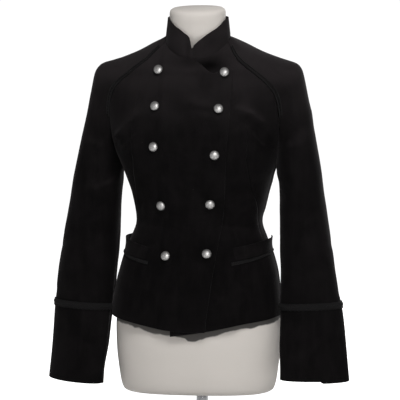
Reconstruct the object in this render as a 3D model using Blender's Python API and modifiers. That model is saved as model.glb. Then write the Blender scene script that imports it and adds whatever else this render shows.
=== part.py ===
"""A double-breasted velvet blazer with a stand collar, worn by a limbless dress form on a short stand.

Sizes in the tables are millimetres and are scaled to metres when a mesh is made. +Z is up, the
garment faces -Y and its wearer's left is at +X. The origin is the middle of the stand's underside.
"""

import math

import bmesh
import bpy
import numpy as np
from mathutils.bvhtree import BVHTree

MM = 0.001

# Cloth
WALL = 1.6
SEAM_GAP = 0.5
SEAM_SPREAD = 0.09  # half the gap, as degrees of spread at the side seam
LAYER_GAP = 0.4
COLLAR_WALL = 2.2
BRAID_WALL = 1.6
CUFF_BRAID_WALL = 2.2

# Neck seam, an ellipse seen from above, and how high the seam lies round it
NECK_HALF_WIDTH = 64.0
NECK_HALF_DEPTH = 58.0
NECK_MIDDLE = -40.0
NECK_FRONT_CORNER = 77.0
NECK_BACK_CORNER = 125.0

UNDERARM_HEIGHT = 566.0
SHOULDER_HEIGHT = 723.0
CUFF_TOP = 297.0
CUFF_HEM = 146.0
CUFF_HEM_DIP = 6.0

# Grid densities
SLEEVE_COLUMNS = 20
CAP_ROWS = 13
ARM_ROWS = 14
PANEL_ROWS = (
    1, 0.972, 0.944, 0.912, 0.88, 0.845, 0.81, 0.77, 0.73, 0.685, 0.64, 0.59, 0.54, 0.485, 0.43,
    0.37, 0.305, 0.235, 0.16, 0.08, 0,
)
FRONT_NECK_COLUMNS = 5
SHOULDER_NECK_COLUMNS = 4
BACK_NECK_COLUMNS = 4
CUFF_COLUMNS = 24
CUFF_ROWS = 4

# Buttons
BUTTON_RADIUS = 8.8
BUTTON_SHANK = 2.6
BUTTON_SEAT = 0.3
BUTTON_RISE = 5.6
BUTTON_STEPS = 12

# Stand
BASE_RADIUS = 160.0
BASE_THICKNESS = 12.0
POLE_RADIUS = 11.5
FORM_BOTTOM = 120.0
POLE_TOP_GAP = 0.3
STAND_STEPS = 32


class Curve:
    """Columns of numbers against the first column, read along a smooth curve without overshoot."""

    def __init__(self, *rows):
        table = np.array(rows, float)
        self.at = table[:, 0]
        self.columns = table[:, 1:]
        gaps = np.diff(self.at)[:, None]
        rates = np.diff(self.columns, axis=0) / gaps
        self.slopes = np.zeros_like(self.columns)
        self.slopes[0] = rates[0]
        self.slopes[-1] = rates[-1]
        before, after = rates[:-1], rates[1:]
        turning = before * after <= 0
        near = 2 * gaps[1:] + gaps[:-1]
        far = gaps[1:] + 2 * gaps[:-1]
        safe_before = np.where(turning, 1, before)
        safe_after = np.where(turning, 1, after)
        mean = (near + far) / (near / safe_before + far / safe_after)
        self.slopes[1:-1] = np.where(turning, 0, mean)

    def __call__(self, at):
        at = min(max(at, self.at[0]), self.at[-1])
        i = min(int(np.searchsorted(self.at, at, "right")), len(self.at) - 1) - 1
        gap = self.at[i + 1] - self.at[i]
        s = (at - self.at[i]) / gap
        value = (
            self.columns[i] * (1 + 2 * s) * (1 - s) ** 2
            + self.columns[i + 1] * s * s * (3 - 2 * s)
            + self.slopes[i] * gap * s * (1 - s) ** 2
            + self.slopes[i + 1] * gap * s * s * (s - 1)
        )
        return value if len(value) > 1 else float(value[0])


# The blazer's body, in level sections: depths run from the middle line to the front and the back
BODY = Curve(
    # height, half_width, front, back, middle, squareness
    (220, 168.5, 112, 104, -34, 2.3),
    (276, 166, 110.5, 101.5, -34, 2.3),
    (320, 162, 107, 97, -33, 2.3),
    (350, 158.5, 103.5, 93, -32, 2.3),
    (391, 148, 98, 83, -29, 2.3),
    (420, 136.5, 92.5, 75.5, -27, 2.25),
    (456, 124.5, 90, 73, -24, 2.2),
    (505, 132.5, 99, 76, -23, 2.2),
    (534, 141, 112, 84, -22, 2.3),
    (566, 152.6, 123, 90, -22, 2.4),
    (593, 164, 128, 94, -22, 2.4),
    (622, 173, 125, 97, -22, 2.4),
    (655, 180, 118, 98, -22, 2.4),
    (684, 186, 110, 96.5, -22, 2.4),
    (706, 192, 104, 94, -22, 2.4),
    (723, 197, 98, 90, -22, 2.4),
    (738, 197.5, 92, 85, -22, 2.4),
    (754, 192, 86, 79, -23, 2.4),
    (769, 176, 76, 73, -25, 2.4),
    (786, 140, 57, 67, -28, 2.4),
    (806, 92, 26, 56, -32, 2.4),
    (818, 80, 12, 36, -34, 2.4),
)

NECK_SEAM = Curve(
    # turn, height
    (0, 773),
    (20, 775.5),
    (41, 785),
    (60, 796),
    (77, 806),
    (95, 817),
    (130, 818),
    (180, 812),
)

# Raglan seams: along from the neck to the underarm, where the front or back meets the sleeve
RAGLAN_FRONT = Curve(
    # along, x, height
    (0.00, 62.4, 806),
    (0.10, 76, 787),
    (0.19, 91, 769),
    (0.28, 110, 754),
    (0.38, 130, 738),
    (0.47, 147, 723),
    (0.55, 159, 706),
    (0.63, 165.5, 684),
    (0.73, 168, 655),
    (0.83, 166.5, 622),
    (0.92, 161, 593),
    (1.00, 152.6, 566),
)
RAGLAN_BACK = Curve(
    # along, x, height
    (0.00, 52.4, 818),
    (0.12, 72, 800),
    (0.24, 95, 782),
    (0.36, 118, 762),
    (0.48, 138, 738),
    (0.58, 151, 714),
    (0.68, 159, 688),
    (0.78, 163, 658),
    (0.88, 163, 625),
    (0.95, 159, 594),
    (1.00, 152.6, 566),
)

# How far each front reaches past the centre front, and the dip of its free upper edge
RIGHT_REACH = Curve((220, 33), (240, 35), (660, 81), (735, 84), (760, 84))
LEFT_REACH = Curve((220, 34), (240, 34), (700, 45), (760, 45))
RIGHT_UPPER_EDGE = Curve(
    # past the centre front, height
    (0, 772.4),
    (10, 767),
    (24, 758),
    (36, 748),
    (46, 742.5),
    (56, 747),
    (66, 756),
    (76, 757),
    (84, 752),
)
LEFT_UPPER_EDGE = Curve((0, 772.4), (20, 768), (45, 752))
UPPER_CORNER_HEIGHT = 755.0
OVERLAP_LIFT = 3.8
OVERLAP_RAMP = (-66.0, -48.0)
GAPE = 8.0
GAPE_PLACE = (44.0, 746.0)
GAPE_SPREAD = 24.0

# Hem height against turn: 0 centre front, 90 side, 180 centre back; negative past the centre front
RIGHT_HEM = Curve((-16, 245.5), (0, 245.5), (25, 249.5), (45, 256.5), (65, 264), (88, 275))
LEFT_HEM = Curve((-17, 236.5), (0, 241), (12, 244), (30, 250), (50, 258.5), (68, 264), (88, 275))
BACK_HEM = Curve((88, 275), (120, 271), (150, 268), (180, 267))

SLEEVE_CAP = Curve(
    # station, front_along, back_along, top x, y, z, arc
    (0, 0.00, 0.00, 63.5, -34, 817.3, 60),
    (1, 0.20, 0.16, 97, -27, 800, 62),
    (2, 0.34, 0.32, 125, -22, 786, 65),
    (3, 0.46, 0.46, 155, -18, 775, 70),
    (4, 0.55, 0.56, 190, -16, 766, 78),
    (5, 0.63, 0.66, 208, -18, 748, 90),
    (6, 0.72, 0.76, 214.5, -24, 715, 102),
    (7, 0.82, 0.86, 221.5, -31, 672, 118),
    (8, 0.92, 0.94, 231.5, -37, 622, 142),
    (9, 1.00, 1.00, 241, -42, 570, 180),
)
UNDERARM_STATION = 9.0
UNDERARM_HALF_DEPTH = 52.0

SLEEVE_RINGS = Curve(
    # drop below 566, centre x, centre y, half_width, half_depth, turn of the wide axis
    (0, 196.8, -32, 44.6, 52, -12.5),
    (32, 202.5, -31, 46, 54, -6),
    (61, 205.4, -32, 47.5, 55, -2),
    (110, 210, -35, 50.5, 54, 3),
    (172, 216.3, -41.5, 54.5, 51, 8),
    (212, 220.6, -46, 56.5, 47, 12),
    (262, 224.7, -47.5, 60, 40, 18),
    (294, 228.3, -50, 62, 35, 22),
    (348, 231.8, -58, 66, 27, 26),
    (401, 236.8, -69, 69, 21.5, 30),
    (430, 238.5, -73, 70.5, 20, 30),
)

COLLAR_LEAN = 4.0
COLLAR_TOP = Curve(
    # turn from the centre front, height of the upper edge
    (1.2, 790),
    (3, 803),
    (7, 811),
    (16, 818),
    (30, 829),
    (50, 841),
    (68, 849.5),
    (90, 853),
    (130, 855),
    (180, 852),
)

POCKET_TURNS = (43.0, 99.0)
POCKET_FOOT = Curve((43, 381), (60, 388), (80, 397), (99, 402))
POCKET_HEAD = Curve((43, 407), (60, 412.5), (80, 419.5), (99, 424))
POCKET_GAPE = Curve((43, 0.6), (60, 2), (78, 7), (88, 9.5), (99, 8))
POCKET_BRAID_HEIGHT = 8.0

# The braid beside the front raglan seam: its two edges' distances from it, and its grid places
RAGLAN_BRAID = (1.5, 9.0)
RAGLAN_BRAID_LIFT = 0.8
RAGLAN_BRAID_START = 0.3
RAGLAN_BRAID_END = 6.6
RAGLAN_BRAID_COLUMNS = 18

BUTTONS = (
    # wearer's right: x, height; wearer's left: x, height
    (-63.5, 751.5, 67.5, 746.0),
    (-65.5, 682.0, 60.0, 677.0),
    (-65.0, 604.0, 55.0, 590.0),
    (-56.0, 489.5, 40.0, 494.0),
    (-44.5, 391.0, 35.5, 396.0),
)

# The largest folds, as soft ridges and troughs along straight lines on the body
FRONT_FOLDS = (
    # from x, height, to x, height, half width, rise; front
    (108, 672, 134, 652, 13, 3.9),
    (118, 650, 146, 618, 12, -3.0),
    (-106, 660, -138, 622, 13, 3.6),
    (-112, 632, -140, 598, 12, -2.8),
    (84, 500, 108, 520, 13, -3.0),
    (-80, 482, -108, 496, 13, -3.3),
    (-14, 700, 34, 668, 18, 2.6),
    (128, 534, 119, 484, 14, 4.0),
    (70, 300, 84, 262, 15, 3.9),
    (-84, 318, -96, 276, 15, 3.6),
)
BACK_FOLDS = (
    (20, 476, 88, 462, 13, -3.6),
    (-14, 500, -82, 486, 13, -3.3),
    (30, 452, 92, 436, 12, 3.3),
    (-26, 462, -92, 440, 12, 3.6),
    (128, 534, 119, 484, 14, 4.0),
    (66, 640, 118, 604, 14, 4.2),
    (-60, 652, -120, 610, 14, 4.2),
    (46, 340, 58, 288, 16, 4.5),
    (-52, 350, -60, 290, 16, 3.9),
    (6, 336, 10, 292, 15, -1.4),
)
SLEEVE_FOLDS = {
    # from around, height, to around, height, half width, rise; around 0 is the outer edge
    1: (
        (-0.80, 536, -0.42, 500, 17, 3.4),
        (-0.86, 500, -0.50, 462, 15, -2.4),
        (-0.46, 474, -0.24, 446, 15, 1.6),
        (0.86, 520, 0.45, 486, 17, 3.6),
        (0.34, 452, 0.78, 420, 16, 2.8),
        (-0.72, 420, -0.38, 392, 16, 2.4),
        (0.62, 382, 0.30, 352, 15, -2.0),
        (-0.28, 360, -0.56, 334, 15, 1.6),
    ),
    -1: (
        (-0.84, 528, -0.42, 506, 17, 3.1),
        (-0.78, 488, -0.46, 452, 16, -2.4),
        (-0.44, 486, -0.24, 452, 15, 1.5),
        (0.82, 532, 0.42, 478, 17, 3.6),
        (0.32, 440, 0.70, 428, 16, 2.6),
        (-0.66, 410, -0.34, 376, 16, 2.5),
        (0.58, 370, 0.28, 360, 15, -1.9),
        (-0.32, 344, -0.66, 330, 15, 1.6),
    ),
}
SLEEVE_HALF_GIRTH = 160.0

TORSO = Curve(
    # height, half_width, front, back, middle, squareness
    (120, 129.5, 79, 76, -34, 2.3),
    (122.5, 139.5, 89, 85, -34, 2.3),
    (128, 147.5, 95, 91, -34, 2.3),
    (140, 152, 98, 94, -34, 2.3),
    (170, 157, 100.5, 97, -34, 2.3),
    (205, 161, 101, 98, -34, 2.3),
    (250, 162.5, 101, 97, -34, 2.3),
    (276, 161, 100.5, 96, -34, 2.3),
    (320, 157, 99, 91, -33, 2.3),
    (350, 153.5, 98.5, 88, -32, 2.3),
    (391, 142.5, 92.5, 77.5, -29, 2.3),
    (420, 128, 87, 70, -27, 2.25),
    (456, 115, 84, 67, -24, 2.2),
    (505, 122.5, 92.5, 70, -23, 2.2),
    (534, 131.5, 104, 77, -22, 2.3),
    (566, 142, 114, 83, -22, 2.4),
    (593, 149, 119, 87, -22, 2.4),
    (622, 154, 116, 89, -22, 2.4),
    (655, 158, 108, 89, -22, 2.4),
    (684, 163, 101, 88, -22, 2.4),
    (706, 167, 94, 85, -22, 2.4),
    (723, 169, 88, 81, -22, 2.4),
    (738, 168, 80, 76, -22, 2.3),
    (754, 163, 71, 70, -23, 2.2),
    (766, 154, 62, 64, -25, 1.9),
    (777, 137, 53, 58, -28, 1.75),
    (787, 112, 47, 53, -32, 1.6),
    (796, 88, 45, 49, -36, 1.45),
    (805, 64, 46, 46, -39, 1.55),
    (818, 54.5, 47, 46, -41, 2.0),
    (840, 54.5, 48, 46, -42, 2.0),
    (858, 54.8, 49, 47, -43, 2.0),
    (864, 53.4, 47.5, 45.5, -43, 2.0),
    (868, 48.5, 43, 40.5, -43, 2.0),
)
TORSO_COLUMNS = 28
TORSO_ROWS = (
    120, 122.5, 128, 140, 170, 205, 250, 300, 350, 391, 425, 456, 500, 545, 593, 640, 684, 723,
    741, 756, 768, 778, 787, 796, 805, 818, 840, 858, 864, 868,
)
NECK_TILT_FROM = 812.0
NECK_TILT_OVER = 50.0
NECK_TILT = 0.13


def section_point(sections, turn, height):
    """A point of a body surface; turn is 0 at the centre front, 90 at the wearer's left."""
    half_width, front, back, middle, squareness = sections(height)
    side = math.sin(math.radians(turn))
    fore = math.cos(math.radians(turn))
    depth = front if fore > 0 else back
    total = abs(side / half_width) ** squareness + abs(fore / depth) ** squareness
    reach = total ** (-1 / squareness)
    return np.array([reach * side, middle - reach * fore, height])


def body_normal(turn, height):
    across = section_point(BODY, turn + 0.5, height) - section_point(BODY, turn - 0.5, height)
    rise = section_point(BODY, turn, height + 2) - section_point(BODY, turn, height - 2)
    return unit(np.cross(across, rise))


def body_point(turn, height, out=0.0):
    """The blazer's outer face, moved out along its normal."""
    return section_point(BODY, turn, height) + out * body_normal(turn, height)


def folds_at(folds, across, height):
    """The rise of all the folds at a place, each a rounded ridge along its line."""
    rise = 0.0
    for x0, z0, x1, z1, half_width, depth in folds:
        along_x, along_z = x1 - x0, z1 - z0
        share = ((across - x0) * along_x + (height - z0) * along_z) / (along_x**2 + along_z**2)
        share = min(max(share, 0.0), 1.0)
        away = (across - x0 - along_x * share) ** 2 + (height - z0 - along_z * share) ** 2
        rise += depth * math.exp(-away / half_width**2)
    return rise


def body_fold(x, height, behind=False):
    return folds_at(BACK_FOLDS if behind else FRONT_FOLDS, x, height)


def sleeve_fold(side, around, height):
    folds = []
    for a0, z0, a1, z1, half_width, depth in SLEEVE_FOLDS[side]:
        folds.append((a0 * SLEEVE_HALF_GIRTH, z0, a1 * SLEEVE_HALF_GIRTH, z1, half_width, depth))
    return folds_at(folds, around * SLEEVE_HALF_GIRTH, height)


def unit(vector):
    return vector / np.linalg.norm(vector)


def turn_at(x, height, behind=False):
    """The turn where the body reaches this x, on its front or its back."""
    half_width, front, back, _, squareness = BODY(height)
    depth = back if behind else front
    share = min(abs(x) / half_width, 1.0)
    fore = depth * (1 - share**squareness) ** (1 / squareness)
    angle = math.degrees(math.atan2(abs(x), fore))
    return math.copysign(180 - angle if behind else angle, x)


def reference_width(height):
    return BODY(min(height, SHOULDER_HEIGHT))[0]


def spread_at(x, height):
    """An even measure across the body: 0 at the centre, 90 at the side seam."""
    return math.degrees(math.asin(max(-1.0, min(x / reference_width(height), 1.0))))


def turn_of_spread(spread, height, behind=False):
    return turn_at(reference_width(height) * math.sin(math.radians(spread)), height, behind)


def neck_point(turn):
    """The neck seam round the collar's foot."""
    angle = math.radians(turn)
    return np.array([
        NECK_HALF_WIDTH * math.sin(angle),
        NECK_MIDDLE - NECK_HALF_DEPTH * math.cos(angle),
        NECK_SEAM(abs(turn)),
    ])


def smooth(low, high, value):
    share = min(max((value - low) / (high - low), 0.0), 1.0)
    return share * share * (3 - 2 * share)


def mirrored(points, side):
    return np.array(points) * np.array([side, 1, 1])


# Meshes


def material(name, colour, roughness, metallic=0.0):
    made = bpy.data.materials.new(name)
    made.use_nodes = True
    shader = made.node_tree.nodes["Principled BSDF"]
    shader.inputs["Base Color"].default_value = (*colour, 1)
    shader.inputs["Roughness"].default_value = roughness
    shader.inputs["Metallic"].default_value = metallic
    made.diffuse_color = (*colour, 1)
    return made


def add_object(name, mesh, finish, group):
    made = bpy.data.objects.new(name, mesh)
    mesh.materials.append(finish)
    group.objects.link(made)
    return made


def sheet(name, rows, finish, group, wall=WALL, ring_from=None, outward=False, flip=False):
    """A grid of points in millimetres made into a wall by Solidify.

    From row ring_from down, the last column is the first one again, so the grid closes into a tube.
    The wall grows inward from the points, or outward where asked."""
    mesh = bpy.data.meshes.new(name)
    cells = bmesh.new()
    grid = []
    for i, row in enumerate(rows):
        closes = ring_from is not None and i >= ring_from
        line = [cells.verts.new(np.array(point) * MM) for point in (row[:-1] if closes else row)]
        if closes:
            line.append(line[0])
        grid.append(line)
    for upper, lower in zip(grid, grid[1:]):
        for j in range(len(upper) - 1):
            corners = [upper[j], upper[j + 1], lower[j + 1], lower[j]]
            if flip:
                corners.reverse()
            corners = list(dict.fromkeys(corners))
            if len(corners) > 2:
                cells.faces.new(corners)
    cells.to_mesh(mesh)
    cells.free()
    mesh.shade_smooth()
    made = add_object(name, mesh, finish, group)
    thick = made.modifiers.new("Wall", "SOLIDIFY")
    thick.thickness = wall * MM
    thick.offset = 1 if outward else -1
    return made


# The fronts


def over_lift(x, height):
    """How far the wearer's right front stands off the left front that it lies on."""
    on_layer = smooth(*OVERLAP_RAMP, x)
    gx, gz = GAPE_PLACE
    away = ((x - gx) ** 2 + (height - gz) ** 2) / GAPE_SPREAD**2
    return OVERLAP_LIFT * on_layer + GAPE * math.exp(-away) * smooth(6, 24, x)


def panel_grid(boundary, edge_spread, hem, lift, behind):
    """Rows of points from the upper edge down to the hem, for a panel on the wearer's left.

    The boundary lists (x, height, exact point or None) from the centre edge to the underarm."""
    columns = []
    last = 90 - SEAM_SPREAD
    for k, (top_x, top_height, exact) in enumerate(boundary):
        foot_share = k / (len(boundary) - 1)
        edge = edge_spread(top_height)
        top_share = (spread_at(top_x, top_height) - edge) / (90 - edge)
        column = []
        for r in PANEL_ROWS:
            share = foot_share + (top_share - foot_share) * smooth(-0.15, 1.0, r)
            height = top_height
            for _ in range(3):
                edge = edge_spread(height)
                turn = turn_of_spread(edge + (last - edge) * share, height, behind)
                height = hem(turn) + (top_height - hem(turn)) * r
            point = body_point(turn, height, lift(turn, height))
            if exact is not None:
                top_turn = turn_at(top_x, top_height, behind)
                start = section_point(BODY, top_turn, top_height)
                point = point + (exact - start) * smooth(0.86, 1.0, r)
            column.append(point)
        columns.append(column)
    return [list(row) for row in zip(*columns)]


def neck_boundary(first, last, columns):
    """The panel's share of the neck seam, just under the collar and the sleeve."""
    rows = []
    for turn in np.linspace(first, last, columns + 1):
        point = neck_point(turn)
        point[2] -= SEAM_GAP
        rows.append((point[0], point[2], point))
    return rows


def front_grid(upper_edge, edge_columns, reach_at, hem, lift):
    """A front: its boundary runs from the free corner, up the neck seam and down the raglan seam."""
    corner = reach_at(UPPER_CORNER_HEIGHT)
    boundary = []
    for past in np.linspace(corner, 0, edge_columns + 1)[:-1]:
        boundary.append((-past, upper_edge(past), None))
    boundary += neck_boundary(0, NECK_FRONT_CORNER, FRONT_NECK_COLUMNS)
    for station in cap_stations()[1:]:
        boundary.append((*RAGLAN_FRONT(SLEEVE_CAP(station)[0]), None))

    def edge_spread(height):
        return spread_at(-reach_at(height), height)

    return panel_grid(boundary, edge_spread, hem, lift, behind=False)


def make_fronts(velvet, group):
    def right_lift(turn, height):
        x = -section_point(BODY, turn, height)[0]
        return over_lift(x, height) + body_fold(x, height)

    def left_lift(turn, height):
        return body_fold(section_point(BODY, turn, height)[0], height)

    right = front_grid(RIGHT_UPPER_EDGE, 6, RIGHT_REACH, RIGHT_HEM, right_lift)
    left = front_grid(LEFT_UPPER_EDGE, 3, LEFT_REACH, LEFT_HEM, left_lift)
    sheet("front_left", left, velvet, group, flip=True)
    return sheet("front_right", [mirrored(row, -1) for row in right], velvet, group)


def make_backs(velvet, group):
    """The boundary runs from the centre back along the neck seam and down the raglan seam."""
    boundary = neck_boundary(180, NECK_BACK_CORNER, BACK_NECK_COLUMNS)
    for station in cap_stations()[1:]:
        boundary.append((*RAGLAN_BACK(SLEEVE_CAP(station)[1]), None))

    def edge_spread(height):
        return math.degrees(SEAM_GAP / 2 / reference_width(height))

    for side, word in ((-1, "right"), (1, "left")):
        def lift(turn, height):
            return body_fold(side * section_point(BODY, turn, height)[0], height, behind=True)

        rows = panel_grid(boundary, edge_spread, BACK_HEM, lift, behind=True)
        sheet(f"back_{word}", [mirrored(row, side) for row in rows], velvet, group, flip=side < 0)


# The sleeves


def cap_stations():
    return np.linspace(0, UNDERARM_STATION, CAP_ROWS)


def cap_frame(station):
    """Front point, back point, top point, half arc and half depth of a row across the sleeve cap."""
    front_along, back_along, *top, arc = SLEEVE_CAP(station)
    x, height = RAGLAN_FRONT(front_along)
    front = section_point(BODY, turn_at(x, height), height)
    x, height = RAGLAN_BACK(back_along)
    back = section_point(BODY, turn_at(x, height, behind=True), height)
    chord = np.linalg.norm(back - front)
    arc = math.radians(arc)
    if station <= 8:
        return front, back, np.array(top), arc, chord / 2 / math.sin(arc)
    _, _, _, last_arc, last_depth = cap_frame(8.0)
    depth = last_depth + (UNDERARM_HALF_DEPTH - last_depth) * (station - 8)
    arc = math.pi - math.asin(min(chord / 2 / depth, 1.0))
    return front, back, np.array(top), arc, depth


def cap_point(station, around):
    """A point of the sleeve cap; around runs from -1 at the front seam to 1 at the back seam."""
    front, back, top, arc, depth = cap_frame(station)
    middle = (front + back) / 2
    angle = arc * around
    share = (math.cos(angle) - math.cos(arc)) / (1 - math.cos(arc))
    point = middle + (top - middle) * share + unit(back - front) * depth * math.sin(angle)
    if station < 1:
        turn = NECK_FRONT_CORNER + (NECK_BACK_CORNER - NECK_FRONT_CORNER) * (around + 1) / 2
        start = cap_point_at_neck(around)
        seam = neck_point(turn)
        seam[2] -= SEAM_GAP
        point = point + (seam - start) * (1 - smooth(0, 1, station))
    return point


def cap_point_at_neck(around):
    front, back, top, arc, depth = cap_frame(0.0)
    middle = (front + back) / 2
    angle = arc * around
    share = (math.cos(angle) - math.cos(arc)) / (1 - math.cos(arc))
    return middle + (top - middle) * share + unit(back - front) * depth * math.sin(angle)


def ring_point(height, around, out=0.0):
    """A point of the sleeve below the underarm; around runs once round, 0 at the outer edge."""
    x, y, half_width, half_depth, turn = SLEEVE_RINGS(UNDERARM_HEIGHT - height)
    wide = np.array([math.cos(math.radians(turn)), math.sin(math.radians(turn)), 0])
    deep = np.array([-wide[1], wide[0], 0])
    angle = math.pi * around
    point = np.array([x, y, height])
    point = point + wide * (half_width + out) * math.cos(angle)
    return point + deep * (half_depth + out) * math.sin(angle)


def arm_point(side, share, around):
    """Between the underarm row, which slopes, and the level ring at the top of the cuff."""
    low = CUFF_TOP + SEAM_GAP / 2
    height = UNDERARM_HEIGHT + (low - UNDERARM_HEIGHT) * share
    point = ring_point(height, around, sleeve_fold(side, around, height))
    slope = cap_point(UNDERARM_STATION - 1e-4, around) - ring_point(UNDERARM_HEIGHT, around)
    return point + slope * (1 - smooth(0, 0.35, share))


def sleeve_rows(side):
    rows = []
    for station in np.minimum(cap_stations(), UNDERARM_STATION - 1e-4):
        front, back, _, arc, depth = cap_frame(station)
        inset = SEAM_GAP * 1.6 / (arc * depth)
        limit = 1 - inset * smooth(UNDERARM_STATION, UNDERARM_STATION - 1, station)
        rows.append([cap_point(station, a) for a in np.linspace(-limit, limit, SLEEVE_COLUMNS + 1)])
    for share in np.linspace(0, 1, ARM_ROWS + 1)[1:]:
        rows.append([arm_point(side, share, a) for a in np.linspace(-1, 1, SLEEVE_COLUMNS + 1)])
    return rows


def cuff_rows():
    """The deep cuff, flared, its hem a little lower at the front and back than at its two ends."""
    rows = []
    for share in np.linspace(0, 1, CUFF_ROWS + 1):
        row = []
        for around in np.linspace(-1, 1, CUFF_COLUMNS + 1):
            hem = CUFF_HEM - CUFF_HEM_DIP * abs(math.sin(math.pi * around))
            height = CUFF_TOP - SEAM_GAP / 2 + (hem - CUFF_TOP) * share
            row.append(ring_point(height, around))
        rows.append(row)
    return rows


def make_sleeves(velvet, group):
    for side, word in ((-1, "right"), (1, "left")):
        rows = [mirrored(row, side) for row in sleeve_rows(side)]
        sheet(f"sleeve_{word}", rows, velvet, group, ring_from=CAP_ROWS - 1, flip=side > 0)
        rows = [mirrored(row, side) for row in cuff_rows()]
        sheet(f"cuff_{word}", rows, velvet, group, ring_from=0, flip=side > 0)


# Collar


def make_collar(velvet, group):
    front = np.linspace(0, NECK_FRONT_CORNER, FRONT_NECK_COLUMNS + 1)[1:]
    shoulder = np.linspace(NECK_FRONT_CORNER, NECK_BACK_CORNER, SHOULDER_NECK_COLUMNS + 1)[1:]
    back = np.linspace(NECK_BACK_CORNER, 180, BACK_NECK_COLUMNS + 1)[1:]
    turns = np.concatenate([(1.2, 3, 7), front, shoulder, back])
    turns = np.concatenate([turns, -turns[-2::-1]])
    rows = []
    for share in np.linspace(1, 0, 5):
        row = []
        for turn in turns:
            foot = NECK_SEAM(abs(turn)) + SEAM_GAP * 1.6
            height = foot + (COLLAR_TOP(abs(turn)) - foot) * share
            lean = COLLAR_LEAN * (height - foot) / 36
            angle = math.radians(turn)
            x = (NECK_HALF_WIDTH - lean) * math.sin(angle)
            y = NECK_MIDDLE - (NECK_HALF_DEPTH - lean * 0.6) * math.cos(angle)
            row.append((x, y, height))
        rows.append(row)
    sheet("collar", rows, velvet, group, wall=COLLAR_WALL, flip=True)


# Pockets and braid


def panel_point(side, turn, height, out):
    """A point over the folded cloth, before it is mirrored to its side."""
    x, _, _ = section_point(BODY, turn, height)
    return body_point(turn, height, out + body_fold(side * x, height, behind=turn > 90))


def make_pockets(velvet, braid, group):
    for side, word in ((-1, "right"), (1, "left")):
        turns = np.linspace(*POCKET_TURNS, 13)
        rows = []
        for share in np.linspace(1, 0, 4):
            row = []
            for turn in turns:
                foot, head = POCKET_FOOT(turn), POCKET_HEAD(turn)
                height = foot + (head - foot) * share
                out = LAYER_GAP + POCKET_GAPE(turn) * share**1.4
                row.append(panel_point(side, turn, height, out))
            rows.append(mirrored(row, side))
        sheet(f"pocket_welt_{word}", rows, velvet, group, outward=True, flip=side > 0)
        rows = []
        for drop in (SEAM_GAP, POCKET_BRAID_HEIGHT):
            row = []
            for turn in turns:
                row.append(panel_point(side, turn, POCKET_FOOT(turn) - drop, LAYER_GAP))
            rows.append(mirrored(row, side))
        sheet(f"pocket_braid_{word}", rows, braid, group, wall=BRAID_WALL, outward=True, flip=side > 0)


def raglan_braid_rows():
    """A strip on the facets of the sleeve cap, along its front seam, from the neck to the armhole."""
    grid = sleeve_rows(1)
    rows = []
    for distance in RAGLAN_BRAID:
        row = []
        for place in np.linspace(RAGLAN_BRAID_START, RAGLAN_BRAID_END, RAGLAN_BRAID_COLUMNS):
            upper, lower = grid[int(place)], grid[int(place) + 1]
            share = place - int(place)
            line = [a + (b - a) * share for a, b in zip(upper, lower)]
            normal = unit(np.cross(lower[0] - upper[0], line[1] - line[0]))
            row.append(point_along(line, distance) + normal * RAGLAN_BRAID_LIFT)
        rows.append(row)
    return rows


def point_along(line, distance):
    for start, end in zip(line, line[1:]):
        length = np.linalg.norm(end - start)
        if distance <= length:
            return start + (end - start) * distance / length
        distance -= length
    return line[-1]


def make_braids(braid, group):
    for side, word in ((-1, "right"), (1, "left")):
        rows = [mirrored(row, side) for row in raglan_braid_rows()]
        sheet(f"raglan_braid_{word}", rows, braid, group, wall=BRAID_WALL, outward=True, flip=side < 0)
        rows = []
        columns = 44
        for k in (1, -1):
            row = []
            for j in range(columns + 1):
                around = -1 + 2 * j / columns
                height = CUFF_TOP - 1 + 6.5 * k
                if k < 0 and j % 4 == 2:
                    height -= 2.5
                row.append(ring_point(height, around, LAYER_GAP + 0.3))
            rows.append(mirrored(row, side))
        sheet(
            f"cuff_braid_{word}", rows, braid, group,
            wall=CUFF_BRAID_WALL, ring_from=0, outward=True, flip=side > 0,
        )


# Buttons


def make_buttons(metal, group, front):
    """Each button is a turned dome on a short shank, square to the cloth under it."""
    profile = [(0, 0), (BUTTON_SHANK, 0), (BUTTON_SHANK, 1.2), (BUTTON_RADIUS, 1.8)]
    for angle in (25, 58):
        reach = math.radians(angle)
        profile.append((BUTTON_RADIUS * math.cos(reach), 2.4 + BUTTON_RISE * math.sin(reach)))
    profile.append((0, 2.4 + BUTTON_RISE))
    profile.reverse()
    cloth = BVHTree.FromObject(front, bpy.context.evaluated_depsgraph_get())
    for number, (right_x, right_height, left_x, left_height) in enumerate(BUTTONS, 1):
        for word, x, height in (("right", right_x, right_height), ("left", left_x, left_height)):
            turn = turn_at(x, height)
            normal = body_normal(turn, height)
            seat = seat_on(cloth, body_point(turn, height, 50), normal)
            name = f"button_{word}_{number}"
            made = turned(name, profile, metal, group, BUTTON_STEPS)
            made.location = seat * MM
            made.rotation_euler = up_to(normal)


def seat_on(cloth, start, normal):
    """Where the shank stops just short of the cloth, coming in along the normal."""
    side = unit(np.cross(normal, (0, 0, 1)))
    up = np.cross(side, normal)
    way = 100.0
    for angle in np.linspace(0, 2 * math.pi, 13):
        foot = start + BUTTON_SHANK * (side * math.cos(angle) + up * math.sin(angle))
        way = min(way, cloth.ray_cast(foot * MM, -normal)[3] / MM)
    return start - normal * (way - BUTTON_SEAT)


def up_to(direction):
    """The rotation that turns +Z to this direction."""
    flat = math.hypot(direction[0], direction[1])
    return (0, math.atan2(flat, direction[2]), math.atan2(direction[1], direction[0]))


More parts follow.
